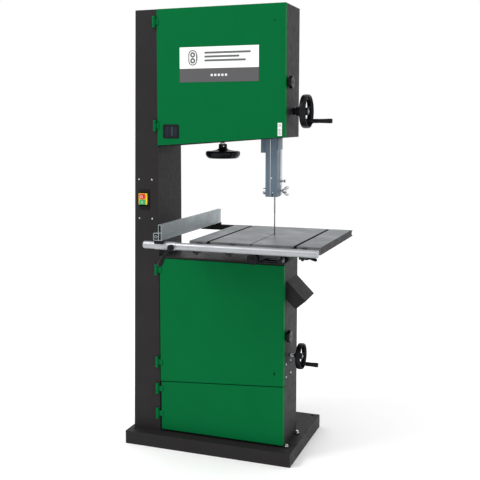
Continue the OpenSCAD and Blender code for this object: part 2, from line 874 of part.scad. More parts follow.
// Crank handwheel about X: rim, three flat spokes and a hub, bored for its grip's pin
module crank_wheel(at, r, hub_len, lean) {
    tube = r * (1 - rim_share);
    pin_at = grip_at([0, 0, 0], r, lean);
    translate(at) difference() {
        union() {
            rotate([0, 90, 0]) rotate_extrude() translate([r - tube, 0]) circle(r = tube);
            rod_x([-hub_len / 2, 0, 0], r * 0.2, hub_len);
            for (a = [0, 120, 240])
                rotate([lean + a, 0, 0]) span([-4, 0, -r * 0.09], [4, r - tube, r * 0.09]);
            rod_x(pin_at + [-tube - 1, 0, 0], tube * 0.95, 2 * tube + 2);
        }
        rod_x(pin_at + [-tube - 2, 0, 0], 4 + fit_gap, 2 * tube + 4);
    }
}

// Turning grip with its pin, set on a crank handwheel
module crank_grip(at, r, lean, len) {
    tube = r * (1 - rim_share);
    start = grip_at(at, r, lean);
    rod_x(start + [-tube - 0.5, 0, 0], 4, 2 * tube + 4);
    translate(start + [tube + 1.4, 0, 0]) rotate([0, 90, 0]) rotate_extrude() polygon([
        [0, 0], [7, 0], [9, 6], [7.5, 20], [8.5, len * 0.6], [10, len - 8], [8, len], [0, len]
    ]);
}

belt_wheel_at = [body_x1 + 46, belt_screw_y, belt_screw_z];

module belt_handwheel() {
    color(black) crank_wheel(belt_wheel_at, belt_wheel_d / 2, 22, belt_grip_lean);
    color(zinc) {
        rod_x([body_x1 - 92, belt_screw_y, belt_screw_z], 7, 138);
        // Shoulder inside the wall, and a nut on each side of the yoke
        for (x = [body_x1 - 12, body_x1 - 71, body_x1 - 86])
            rod_x([x, belt_screw_y, belt_screw_z], 12, 7);
    }
}

module belt_grip() {
    color(black) crank_grip(belt_wheel_at, belt_wheel_d / 2, belt_grip_lean, 60);
}

// Upper guide ------------------------------------------------------------------

post_wheel_at = [body_x1 + 60, pinion_y, post_wheel_z];

module post_bracket() {
    slack = 0.3;
    low = post_wheel_z - 55;
    high = post_wheel_z + 45;
    color(cast) difference() {
        union() {
            span([post_x0 - 16, post_y0 + 2, low], [post_x1 + 14, back_y - sheet, high]);
            // Bearing block for the pinion shaft
            span([post_x1 + 8, pinion_y - 18, post_wheel_z - 20],
                 [body_x1 - sheet, back_y - sheet, post_wheel_z + 20]);
        }
        span([post_x0 - slack, post_y0 - slack, low - 1], [post_x1 + slack, post_y1 + slack, high + 1]);
        rod_x([post_x1 + 7, pinion_y, post_wheel_z], 8 + fit_gap, body_x1 - post_x1);
    }
    // Fixed folded strip beside the sliding guard, just under the housing's floor
    cover_x0 = guard_x0 - 24;
    cover_x1 = guard_x0 - 3;
    color(steel) difference() {
        slab_y([0, blade_y - 19, 0], 59)
            polygon([[cover_x0, head_z - 44], [cover_x1, head_z - 44],
                     [cover_x1, head_floor(cover_x1) - 0.02], [cover_x0, head_floor(cover_x0) - 0.02]]);
        span([cover_x0 + 3, blade_y - 16, head_z - 45],
             [cover_x1 + 1, blade_y + 41, head_floor(cover_x1) + 1]);
    }
}

module guide_post() {
    rack_x0 = blade_x + 5;
    color(steel) {
        span([post_x0, post_y0, post_low_z], [post_x1, post_y1, post_top_z]);
        // Rack teeth on the post's front face
        for (z = [post_wheel_z - 150 : rack_pitch : post_wheel_z + 150])
            span([rack_x0, post_y0 - 1.6, z - 1.4], [post_x1 - 3, post_y0 + 1, z + 1.4]);
    }
}

module blade_guard() {
    t = 2;
    step_z = head_z - 8;
    top_z = guard_low_z + 386;
    right_x = post_x1;
    color([0.56, 0.62, 0.68]) {
        span([guard_x0, guard_y0, guard_low_z], [right_x, guard_y0 + t, top_z]);
        span([right_x - t, guard_y0, guard_low_z], [right_x, post_y0 - 2.4, step_z]);
        span([right_x - t, guard_y0, step_z - 1], [right_x, guard_y0 + 18, top_z]);
        span([guard_x0, guard_y0, guard_low_z], [guard_x0 + t, guard_y0 + 9, top_z]);
        // Strap that ties the guard to the post
        span([post_x0 + 2, post_y0 - 2, post_low_z + 4], [right_x, post_y0, post_low_z + 44]);
        span([right_x - t, post_y0 - 4, post_low_z + 4], [right_x, post_y0 - 0.2, post_low_z + 44]);
    }
}

// Side pins and thrust roller around the blade at a height
module guide_contacts(z) {
    color(zinc) {
        rod_x([blade_x - 10, blade_y - 2, z - 1], 5, 9.2);
        rod_x([blade_x + 0.8, blade_y - 2, z - 1], 5, 9.2);
        rod_x([blade_x - 8, blade_back_y + 12.1, z], 4, 16);
        difference() {
            rod_x([blade_x - 3.4, blade_back_y + 12.1, z], 11.5, 6.8);
            rod_x([blade_x - 4, blade_back_y + 12.1, z], 4 + fit_gap, 8);
        }
    }
}

module guide_head() {
    low = guard_low_z;
    color(steel) difference() {
        union() {
            // Block under the post, behind the blade
            span([post_x0 - 6, blade_back_y + 14, low + 2], [post_x1, post_y1, post_low_z]);
            // Left and right arms carry the side guides
            span([blade_x + 4, blade_y - 8, low + 2], [blade_x + 16, blade_back_y + 16, low + 24]);
            span([blade_x - 20, blade_y - 8, low + 2], [blade_x - 4, blade_back_y + 16, low + 24]);
        }
        span([blade_x - 4, blade_back_y + 0.5, low + 1], [blade_x + 4, blade_back_y + 26, low + 26]);
    }
    guide_contacts(low + 13);
}

module guide_screws() {
    low = guard_low_z;
    color(zinc) {
        rod_x([post_x1 + 0.2, post_y0 + 12, low + 22], 4, 12);
        rod_x([post_x1 + 12, post_y0 + 12, low + 22], 15, 22);
        rod_x([post_x1 + 0.2, post_y0 + 12, low + 64], 4, 12);
        rod_x([post_x1 + 12, post_y0 + 12, low + 64], 7, 14);
        rod_x([post_x0 - 18, post_y0 + 12, low + 19], 4, 11.8);
        rod_x([post_x0 - 40, post_y0 + 12, low + 19], 15, 22);
    }
}

module guide_handwheel() {
    color(black) {
        crank_wheel(post_wheel_at, post_wheel_d / 2, 26, post_grip_lean);
        rod_x([body_x1 + 2, pinion_y, post_wheel_z], 13, 50);
        rod_x([body_x1 + 12, pinion_y, post_wheel_z], 19, 18);
    }
    color(steel) {
        rod_x([blade_x + 5, pinion_y, post_wheel_z], 8, post_wheel_at[0] - blade_x - 5);
        rod_x([blade_x + 5, pinion_y, post_wheel_z], pinion_r, 12);
    }
}

module guide_grip() {
    color(black) crank_grip(post_wheel_at, post_wheel_d / 2, post_grip_lean, 88);
}

// Lower guide and wheel brush ----------------------------------------------------

module lower_guide() {
    color(cast) difference() {
        union() {
            span([blade_x - 34, blade_y - 32, body_top_z], [blade_x + 34, blade_y + 40, body_top_z + 6]);
            span([blade_x - 20, blade_back_y + 14, body_top_z],
                 [blade_x + 20, blade_y + 40, body_top_z + 46]);
            span([blade_x + 4, blade_y - 8, body_top_z + 26],
                 [blade_x + 18, blade_back_y + 16, body_top_z + 46]);
            span([blade_x - 20, blade_y - 8, body_top_z + 26],
                 [blade_x - 4, blade_back_y + 16, body_top_z + 46]);
        }
        span([blade_x - 4, blade_y - 22, body_top_z - 1], [blade_x + 4, blade_back_y + 26, body_top_z + 48]);
    }
    guide_contacts(body_top_z + 34);
    // Black adjusting knobs
    color(black) for (s = [-1, 1])
        rod_x([blade_x + s * 31 - 11, blade_y + 32, body_top_z + 30], 12, 22);
}

module wheel_brush() {
    lean = 35;
    at = [-(wheel_r + 1) * sin(lean), blade_y, lower_wheel_z + (wheel_r + 1) * cos(lean)];
    color("tan") difference() {
        translate(at) rotate([0, -lean, 0]) span([-24, -14, -3], [24, 14, 24]);
        rod_y([0, wheel_y0 - 20, lower_wheel_z], wheel_r + 0.6, wheel_t + 40);
    }
    color(charcoal) translate(at) rotate([0, -lean, 0])
        span([-24, -14, 24], [24, back_y - sheet - blade_y, 30]);
}

// Table ------------------------------------------------------------------------

module trunnion_cradles() {
    cradle_half = 40;
    knob_x = blade_x + pinion_off_x;
    color(cast) difference() {
        union() {
            for (y = trunnion_ys)
                span([blade_x - cradle_half, y - trunnion_t / 2 - 5, body_top_z],
                     [blade_x + cradle_half, y + trunnion_t / 2 + 5, body_top_z + 19]);
            // Bearing posts for the tilt knob's shaft and the locking lever's bolt
            span([knob_x - 14, front_y + 4, body_top_z], [knob_x + 11, front_y + 14, tilt_knob_z + 13]);
            span([tilt_lever_at[0] - 9, front_y + 2, body_top_z],
                 [tilt_lever_at[0] + 9, front_y + 24, body_top_z + 18]);
        }
        rod_y([knob_x, front_y, tilt_knob_z], 9 + fit_gap, 20);
        rod_y([tilt_lever_at[0], front_y, tilt_lever_at[2]], 5 + fit_gap, 30);
        for (y = trunnion_ys)
            rod_y([blade_x, y - trunnion_t / 2 - 6, table_z], trunnion_r + fit_gap, trunnion_t + 12);
    }
}

module trunnion_arcs() {
    arc_t = 22;
    color(cast) for (y = trunnion_ys) difference() {
        rod_y([blade_x, y - trunnion_t / 2, table_z], trunnion_r, trunnion_t);
        rod_y([blade_x, y - trunnion_t / 2 - 1, table_z], trunnion_r - arc_t, trunnion_t + 2);
        span([blade_x - 100, y - trunnion_t, table_z - table_plate],
             [blade_x + 100, y + trunnion_t, table_z + 100]);
    }
}

module table() {
    rib = 8;
    rib_low = table_z - 22;
    color(cast) difference() {
        union() {
            span([table_x0, table_y0, table_z - table_plate], [table_x1, table_y1, table_z]);
            // Outer rim
            difference() {
                span([table_x0, table_y0, table_z - table_rim], [table_x1, table_y1, table_z]);
                span([table_x0 + 9, table_y0 + 9, table_z - table_rim - 1],
                     [table_x1 - 9, table_y1 - 9, table_z + 1]);
            }
            // Ribs, and thicker strips under the mitre slots
            for (y = [table_y0 + 140, table_y1 - 120])
                span([table_x0, y, rib_low], [table_x1, y + rib, table_z - 1]);
            for (s = [-1, 1])
                span([blade_x + s * slot_offset - 16, table_y0, rib_low],
                     [blade_x + s * slot_offset + 16, table_y1, table_z - 1]);
        }
        // T-shaped mitre slots
        for (s = [-1, 1]) {
            span([blade_x + s * slot_offset - slot_w / 2, table_y0 - 1, table_z - 10],
                 [blade_x + s * slot_offset + slot_w / 2, table_y1 + 1, table_z + 1]);
            span([blade_x + s * slot_offset - slot_w / 2 - 4, table_y0 - 1, table_z - 10],
                 [blade_x + s * slot_offset + slot_w / 2 + 4, table_y1 + 1, table_z - 6.5]);
        }
        // Blade slot from the front edge, and the insert's seat
        span([blade_x - 1.5, table_y0 - 1, table_z - table_rim - 1], [blade_x + 1.5, blade_y, table_z + 1]);
        rod_z([blade_x, blade_y, table_z - table_plate - 1], insert_r - 4, table_plate + 2);
        rod_z([blade_x, blade_y, table_z - 4], insert_r, 5);
    }
}

module table_insert() {
    color([0.3, 0.3, 0.3]) difference() {
        rod_z([blade_x, blade_y, table_z - 4], insert_r - 0.05, 3.8);
        span([blade_x - 2.5, blade_y - insert_r - 1, table_z - 5],
             [blade_x + 2.5, blade_y + 16, table_z + 1]);
    }
}

module tilt_knob() {
    knob_x = blade_x + pinion_off_x;
    y0 = front_y - 42;
    color(black) difference() {
        rod_y([knob_x, y0, tilt_knob_z], 25, 24);
        for (a = [0:45:315])
            rod_y([knob_x + 29 * cos(a), y0 - 1, tilt_knob_z + 29 * sin(a)], 7, 26);
    }
    color(zinc) rod_y([knob_x, y0 + 23, tilt_knob_z], 9, trunnion_ys[0] + 10 - y0 - 23);
}

module tilt_lever() {
    x = tilt_lever_at[0];
    z = tilt_lever_at[2];
    color(black) {
        rod_y([x, tilt_lever_at[1] - 8, z], 11, 16);
        rod_x([x - 48, tilt_lever_at[1], z], 5, 44);
        rod_x([x - 72, tilt_lever_at[1], z], 7.5, 25);
    }
    color(zinc) rod_y([x, tilt_lever_at[1] + 7, z], 5, 28);
}

// Rails and fence ----------------------------------------------------------------

bracket_xs = [table_x0 + 45, table_x0 + 185, table_x1 - 62];

module front_rail() {
    wall = 2.5;
    color(zinc) difference() {
        union() {
            rod_x([rail_x0, rail_y, rail_z], rail_d / 2, rail_x1 - rail_x0);
            // Brackets below the rail, bolted to the table's front rim
            for (x = bracket_xs) {
                span([x - 11, rail_y - 3, rail_z - rail_d / 2 - 9],
                     [x + 11, table_y0, rail_z - rail_d / 2 + 2]);
                span([x - 11, table_y0 - 8, rail_z - rail_d / 2 - 9], [x + 11, table_y0, table_z - 6]);
            }
        }
        rod_x([rail_x0 + 3, rail_y, rail_z], rail_d / 2 - wall, rail_x1 - rail_x0 - 6);
    }
}

module rear_rail() {
    color(black) difference() {
        span([rail_x0, table_y1, table_z - 4 - rear_rail_h], [rail_x1, table_y1 + 22, table_z - 4]);
        span([rail_x0 - 1, table_y1 + 3, table_z - 1 - rear_rail_h],
             [rail_x1 + 1, table_y1 + 23, table_z - 7]);
    }
}

module fence_profile() {
    t = 2.5;
    foot = 16;
    color(alloy) translate([0, fence_y1, 0]) rotate([90, 0, 0]) linear_extrude(fence_y1 - fence_y0)
        difference() {
            union() {
                translate([fence_x0, fence_z0]) square([fence_t, fence_h]);
                translate([fence_x0 - foot, fence_z0]) square([foot + 1, 20]);
            }
            for (i = [0:1])
                translate([fence_x0 + t, fence_z0 + t + i * (fence_h / 2)])
                    square([fence_t - 2 * t, fence_h / 2 - 1.5 * t]);
            translate([fence_x0 - foot + t, fence_z0 + t]) square([foot - t - 0.5, 20 - 2 * t]);
        }
}

module fence_clamp() {
    sleeve_r = 17;
    color(cast) difference() {
        union() {
            rod_x([fence_x0 - 18, rail_y, rail_z], sleeve_r, fence_t + 70);
            // Pad under the fence's foot
            span([fence_x0 - 18, rail_y - 17, rail_z + 8], [fence_x1 + 3, rail_y + 22, fence_z0]);
            // Boss for the clamping lever
            rod_y([fence_pivot[0], fence_pivot[1] + 3, fence_pivot[2]], 11, 12);
        }
        rod_x([fence_x0 - 30, rail_y, rail_z], rail_d / 2 + 0.08, 140);
        // Open below and behind the rail, so that it passes the rail's brackets
        span([fence_x0 - 30, rail_y - 8, rail_z - 30], [fence_x1 + 60, rail_y + 30, rail_z - 9]);
    }
    // Pivot pin for the clamping lever
    color(zinc) {
        rod_y(fence_pivot + [0, -14, 0], 4, 20);
        rod_y(fence_pivot + [0, -14, 0], 7, 2.6);
    }
    // Hook under the rear rail
    color(cast) span([fence_x0 - 4, table_y1 + 24, table_z - 24], [fence_x1 + 4, fence_y1, fence_z0]);
}

module fence_lever() {
    lean = 212;
    color(black) translate(fence_pivot) difference() {
        union() {
            rod_y([0, -11, 0], 11, 13.6);
            translate([0, -4, 0]) rotate([0, lean, 0]) {
                translate([0, 0, 6]) cylinder(r = 5.5, h = 52);
                translate([0, 0, 52]) cylinder(r = 8.5, h = 40);
            }
        }
        rod_y([0, -12, 0], 4 + fit_gap, 16);
    }
}

base_plinth();
frame_screws();
column();
upper_housing();
lower_housing();
dust_chute();
cable_gland();
switch_plate();
switch_frame();
start_button();
stop_button();
hinge_barrels();
upper_door();
lower_door();
motor_door();
nameplate();
sight_window();
upper_latch();
lower_latch();
slide_rails();
upper_slide();
tilt_block();
upper_wheel();
upper_tyre();
tension_handwheel();
tension_screw();
tension_spring();
tracking_knob();
blade();
shaft_housing();
wheel_shaft();
lower_wheel();
lower_tyre();
wheel_pulley();
drive_belt();
motor();
motor_plate();
motor_pulley();
belt_handwheel();
belt_grip();
post_bracket();
guide_post();
blade_guard();
guide_head();
guide_screws();
guide_handwheel();
guide_grip();
lower_guide();
wheel_brush();
trunnion_cradles();
table();
table_insert();
trunnion_arcs();
tilt_knob();
tilt_lever();
front_rail();
rear_rail();
fence_profile();
fence_clamp();
fence_lever();
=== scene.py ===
import json
import random
from math import asin, atan2, copysign, cos, hypot, pi, radians, sin, sqrt

import bmesh
import bpy
from mathutils import Matrix, Vector
from mathutils.geometry import tessellate_polygon


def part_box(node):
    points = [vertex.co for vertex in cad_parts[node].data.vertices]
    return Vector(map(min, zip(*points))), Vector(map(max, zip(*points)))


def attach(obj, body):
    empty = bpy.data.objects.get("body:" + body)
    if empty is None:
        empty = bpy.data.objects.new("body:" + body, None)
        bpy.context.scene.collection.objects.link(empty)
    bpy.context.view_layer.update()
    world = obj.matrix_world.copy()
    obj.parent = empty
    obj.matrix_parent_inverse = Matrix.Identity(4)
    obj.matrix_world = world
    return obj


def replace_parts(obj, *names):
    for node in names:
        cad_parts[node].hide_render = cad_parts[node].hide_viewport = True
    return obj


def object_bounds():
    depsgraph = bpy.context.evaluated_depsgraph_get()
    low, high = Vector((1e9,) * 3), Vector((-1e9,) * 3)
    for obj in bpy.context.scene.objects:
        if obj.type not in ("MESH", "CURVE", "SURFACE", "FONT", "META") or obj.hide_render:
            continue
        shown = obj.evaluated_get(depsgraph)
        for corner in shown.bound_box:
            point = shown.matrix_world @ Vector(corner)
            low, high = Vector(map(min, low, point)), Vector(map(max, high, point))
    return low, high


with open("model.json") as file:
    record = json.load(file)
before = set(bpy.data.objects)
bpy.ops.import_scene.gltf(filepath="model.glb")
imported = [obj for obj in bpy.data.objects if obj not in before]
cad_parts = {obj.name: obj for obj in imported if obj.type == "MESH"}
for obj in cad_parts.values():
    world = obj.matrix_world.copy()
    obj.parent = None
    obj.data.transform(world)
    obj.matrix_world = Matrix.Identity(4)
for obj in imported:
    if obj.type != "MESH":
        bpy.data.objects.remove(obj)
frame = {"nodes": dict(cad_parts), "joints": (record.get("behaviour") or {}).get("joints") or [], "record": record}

random.seed(7)
CAD_LOW, CAD_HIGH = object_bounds()
MM = 0.001
SLOT_OF = {s["node"]: s["material_slot"] for s in frame["record"]["subparts"]}
JOINT_POS = {j["name"]: Vector(j["pos_m"]) / MM for j in frame["joints"] if "pos_m" in j}


def vec(x, y, z):
    return Vector((x, y, z))


def turns(count):
    """Evenly spaced angles of one turn."""
    return [2 * pi * i / count for i in range(count)]


def box(node):
    """Low and high corners of a CAD node, in millimetres."""
    return [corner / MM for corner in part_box(node)]


def middle(node):
    low, high = box(node)
    return (low + high) / 2


X, Y, Z = vec(1, 0, 0), vec(0, 1, 0), vec(0, 0, 1)
LEFT, FORWARD, DOWN = -X, -Y, -Z


def new_object(name, data):
    obj = bpy.data.objects.new(name, data)
    bpy.context.scene.collection.objects.link(obj)
    return obj


# Materials -------------------------

class Shader:
    """A node tree for one material, with the nodes that most finishes share."""

    def __init__(self, name):
        self.mat = bpy.data.materials.new(name)
        self.mat.use_nodes = True
        self.tree = self.mat.node_tree
        self.bsdf = self.tree.nodes["Principled BSDF"]
        self.coord = self.tree.nodes.new("ShaderNodeTexCoord").outputs["Object"]

    def node(self, kind, inputs=None, **settings):
        made = self.tree.nodes.new(kind)
        for key, value in settings.items():
            setattr(made, key, value)
        for key, value in (inputs or {}).items():
            self.put(made.inputs[key], value)
        return made

    def put(self, socket, value):
        if isinstance(value, bpy.types.NodeSocket):
            self.tree.links.new(value, socket)
        else:
            socket.default_value = value

    def set(self, **inputs):
        for key, value in inputs.items():
            self.put(self.bsdf.inputs[key.replace("_", " ")], value)

    def stretch(self, scale):
        return self.node("ShaderNodeMapping", {"Vector": self.coord, "Scale": scale}).outputs[0]

    def noise(self, scale, detail=3, where=None, rough=0.55):
        return self.node("ShaderNodeTexNoise", {
            "Vector": where or self.coord, "Scale": scale, "Detail": detail, "Roughness": rough}).outputs[0]

    def vary(self, scale, detail, low, high, start=0.3, end=0.7):
        """Noise between two values."""
        return self.remap(self.noise(scale, detail), start, end, low, high)

    def remap(self, value, low, high, to_low, to_high):
        return self.node("ShaderNodeMapRange", {
            "Value": value, "From Min": low, "From Max": high,
            "To Min": to_low, "To Max": to_high}).outputs[0]

    def math(self, kind, a, b):
        return self.node("ShaderNodeMath", {0: a, 1: b}, operation=kind).outputs[0]

    def mix(self, factor, a, b):
        return self.node("ShaderNodeMix", {0: factor, 6: a, 7: b}, data_type="RGBA").outputs[2]

    def bump(self, height, distance, strength=1, normal=None):
        inputs = {"Height": height, "Distance": distance, "Strength": strength}
        return self.node("ShaderNodeBump", inputs | ({"Normal": normal} if normal else {})).outputs[0]

    def worn_edges(self, radius, amount):
        """1 on sharp edges that noise lets through, 0 elsewhere."""
        soft = self.node("ShaderNodeBevel", {"Radius": radius}, samples=4).outputs[0]
        hard = self.tree.nodes.new("ShaderNodeNewGeometry").outputs["Normal"]
        dot = self.node("ShaderNodeVectorMath", {0: soft, 1: hard}, operation="DOT_PRODUCT")
        edge = self.remap(dot.outputs["Value"], 0.99, 0.86, 0, 1)
        patch = self.vary(60, 4, 0.1, 1, 0.45, 0.62)
        return self.math("MULTIPLY", self.math("MULTIPLY", edge, patch), amount)


def rgb(color, factor=1):
    return (*[max(0, c * factor) for c in color], 1)


def painted(name, color, rough, tint=0.1, worn=0.25, coat=0, shine=0.08):
    """Powder coat or enamel: faint cloudy tint, orange peel, worn edges."""
    peel = 0.00003
    s = Shader(name)
    cloud = s.vary(5, 4, 0, 1)
    base = s.mix(cloud, rgb(color, 1 - tint), rgb(color, 1 + tint))
    grain = s.noise(1600, 2)
    base = s.mix(s.remap(grain, 0.35, 0.75, 0, 0.18), base, rgb([c + 0.01 for c in color], 1.15))
    base = s.mix(s.worn_edges(0.0016, worn), base, rgb([0.6 * c + 0.07 for c in color]))
    s.set(Base_Color=base, Coat_Weight=coat, Coat_Roughness=0.25, Specular_IOR_Level=shine,
          Roughness=s.vary(38, 3, rough - 0.05, rough + 0.07),
          Normal=s.bump(s.noise(420, 2), peel * 4, 0.5, s.bump(grain, peel)))
    return s.mat


def plastic(name, color, rough, coat=0, shine=0.3):
    """Moulded plastic: fine spark texture and slight flow marks."""
    s = Shader(name)
    flow = s.remap(s.noise(14, 5, s.stretch((1, 1, 3))), 0.3, 0.7, 0, 1)
    base = s.mix(flow, rgb(color, 0.86), rgb([c + 0.004 for c in color], 1.15))
    base = s.mix(s.worn_edges(0.001, 0.35), base, rgb([0.6 * c + 0.05 for c in color]))
    s.set(Base_Color=base, Coat_Weight=coat, Coat_Roughness=0.12, Specular_IOR_Level=shine,
          Roughness=s.vary(90, 4, rough - 0.07, rough + 0.08),
          Normal=s.bump(s.noise(900, 2), 0.00004, 0.6))
    return s.mat


def metal(name, color, rough, lines, line_scale, metallic=1, worn=0):
    """Ground, drawn or rolled metal: directional lines, cloudy tone, dull patches."""
    s, tint = Shader(name), 0.12
    streak = s.noise(line_scale, 3, s.stretch(lines))
    cloud = s.noise(9, 5)
    base = s.mix(s.remap(cloud, 0.3, 0.7, 0, 1), rgb(color, 1 - tint), rgb(color, 1 + tint))
    base = s.mix(s.remap(streak, 0.3, 0.7, 0, 0.5), base, rgb(color, 1 + 2 * tint))
    if worn:
        base = s.mix(s.worn_edges(0.0012, worn), base, rgb([0.5 + 0.4 * c for c in color]))
    dull = s.vary(27, 4, rough - 0.07, rough + 0.12, 0.35, 0.7)
    s.set(Base_Color=base, Metallic=metallic,
          Roughness=s.math("ADD", dull, s.remap(streak, 0.3, 0.7, -0.06, 0.06)),
          Normal=s.bump(streak, 0.00002, 0.7))
    return s.mat


def cast(name, color, rough=0.55, metallic=0.35, pits=0.0002):
    """Painted or bare sand casting: grainy skin, darker hollows."""
    s = Shader(name)
    skin = s.noise(260, 6, rough=0.7)
    cloud = s.vary(18, 4, 0, 1)
    base = s.mix(cloud, rgb(color, 0.8), rgb(color, 1.2))
    base = s.mix(s.remap(skin, 0.3, 0.6, 0.5, 0), base, rgb(color, 0.5))
    base = s.mix(s.worn_edges(0.002, 0.5), base, rgb([0.35 + 0.3 * c for c in color]))
    s.set(Base_Color=base, Metallic=metallic, Roughness=s.remap(skin, 0.3, 0.7, rough - 0.08, rough + 0.12),
          Normal=s.bump(skin, pits, 0.6))
    return s.mat


def ground_table(name):
    """Planed cast iron: fine mill marks across, dull oily clouds and small dark pits."""
    s = Shader(name)
    marks = s.noise(240, 3, s.stretch((0.06, 1, 1)))
    clouds = s.remap(s.noise(7, 6, rough=0.65), 0.3, 0.72, 0, 1)
    base = s.mix(clouds, (0.092, 0.103, 0.112, 1), (0.19, 0.207, 0.22, 1))
    base = s.mix(s.remap(marks, 0.35, 0.7, 0, 0.55), base, (0.27, 0.29, 0.3, 1))
    base = s.mix(s.vary(620, 2, 0, 0.75, 0.66, 0.74), base, (0.06, 0.06, 0.06, 1))
    s.set(Base_Color=base, Metallic=0.75,
          Roughness=s.math("ADD", s.remap(clouds, 0, 1, 0.5, 0.36), s.remap(marks, 0.3, 0.7, -0.05, 0.05)),
          Normal=s.bump(marks, 0.00003, 0.7))
    return s.mat


def rubber(name):
    s = Shader(name)
    dust = s.vary(35, 5, 0, 0.35, 0.5, 0.75)
    base = s.mix(dust, (0.013, 0.013, 0.014, 1), (0.07, 0.06, 0.05, 1))
    s.set(Base_Color=base, Roughness=s.vary(120, 3, 0.62, 0.8),
          Normal=s.bump(s.noise(700, 3), 0.00006, 0.7))
    return s.mat


def bristle(name):
    s = Shader(name)
    hair = s.noise(900, 2, s.stretch((1, 1, 0.05)))
    base = s.mix(s.remap(hair, 0.3, 0.7, 0, 1), (0.16, 0.09, 0.03, 1), (0.55, 0.38, 0.18, 1))
    s.set(Base_Color=base, Roughness=s.remap(hair, 0.3, 0.7, 0.6, 0.85), Normal=s.bump(hair, 0.0002, 0.8))
    return s.mat


def two_tone(name, level, low_color, high_color):
    """Printed film: one colour below a level and another above it, with a faint print grain."""
    s = Shader(name)
    above = s.math("GREATER_THAN", s.node("ShaderNodeSeparateXYZ", {0: s.coord}).outputs["Z"], level)
    base = s.mix(above, rgb(low_color), rgb(high_color))
    grain = s.noise(700, 2)
    base = s.mix(s.remap(grain, 0.4, 0.7, 0, 0.06), base, (0.5, 0.5, 0.5, 1))
    s.set(Base_Color=base, Roughness=s.vary(30, 3, 0.28, 0.4),
          Normal=s.bump(grain, 0.00001, 0.5))
    return s.mat


def paper_floor(name):
    s = Shader(name)
    base = s.mix(s.noise(2, 3), (0.975, 0.975, 0.975, 1), (0.99, 0.99, 0.99, 1))
    s.set(Base_Color=base, Emission_Color=(1, 1, 1, 1), Emission_Strength=0.08,
          Roughness=s.vary(6, 2, 0.8, 0.9),
          Normal=s.bump(s.noise(300, 2), 0.00002, 0.3))
    return s.mat


PLATE = box("nameplate")
DARK_SHARE = 0.39  # of the nameplate's height, from below
PLATE_SPLIT = PLATE[0].z + DARK_SHARE * (PLATE[1].z - PLATE[0].z)
WHITE, DARK_GREY = (0.86, 0.87, 0.87), (0.066, 0.063, 0.067)

LOOK = {
    "dark_paint": painted("charcoal_powder_coat", (0.0196, 0.018, 0.019), 0.48, worn=0.22, shine=0.09),
    "green_paint": painted("green_powder_coat", (0.0002, 0.118, 0.031), 0.44, 0.04, 0.1, shine=0.03),
    "black_plastic": plastic("black_phenolic", (0.003, 0.0034, 0.0052), 0.32, coat=0.05, shine=0.12),
    "yellow_plastic": plastic("yellow_plastic", (0.8, 0.58, 0.02), 0.35),
    "green_plastic": plastic("green_key_plastic", (0.02, 0.33, 0.09), 0.25, coat=0.4),
    "red_plastic": plastic("red_key_plastic", (0.72, 0.035, 0.02), 0.25, coat=0.4),
    "nameplate": two_tone("nameplate_film", PLATE_SPLIT * MM, DARK_GREY, WHITE),
    "zinc": metal("zinc_plate", (0.66, 0.67, 0.68), 0.28, (1, 1, 1), 300),
    "bright_steel": metal("ground_steel", (0.5, 0.52, 0.54), 0.26, (1, 1, 0.04), 500),
    "guard_steel": painted("guard_enamel", (0.11, 0.15, 0.192), 0.34, tint=0.07, worn=0.5, coat=0.15),
    "blade_steel": metal("spring_steel", (0.085, 0.085, 0.09), 0.32, (1, 0.05, 1), 900, worn=0.5),
    "cast_iron": cast("grey_casting", (0.13, 0.135, 0.14)),
    "ground_iron": ground_table("planed_iron"),
    "insert": metal("turned_insert", (0.17, 0.17, 0.18), 0.42, (1, 1, 1), 420),
    "rubber": rubber("black_rubber"),
    "motor_paint": painted("motor_enamel", (0.04, 0.046, 0.05), 0.38, worn=0.3, coat=0.1),
    "rail_tube": metal("rail_tube", (0.36, 0.37, 0.39), 0.42, (0.03, 1, 1), 420, metallic=0.7),
    "black_steel": painted("black_angle", (0.014, 0.014, 0.015), 0.4, worn=0.3),
    "aluminium": metal("extruded_aluminium", (0.3, 0.335, 0.35), 0.42, (1, 0.02, 1), 600, metallic=0.85),
    "clamp_alloy": cast("die_cast_alloy", (0.3, 0.31, 0.32), 0.45, 0.8, 0.0001),
    "brush": bristle("bristle"),
}
GLAZING = plastic("dark_glazing", (0.002, 0.006, 0.013), 0.12, coat=0.2, shine=0.12)


# Building pieces -------------------

def basis(axis):
    """Matrix whose third column is axis."""
    a = axis.normalized()
    side = X if abs(a.x) < 0.9 else Y
    u = (side - a * side.dot(a)).normalized()
    return Matrix((u, a.cross(u), a)).transposed()


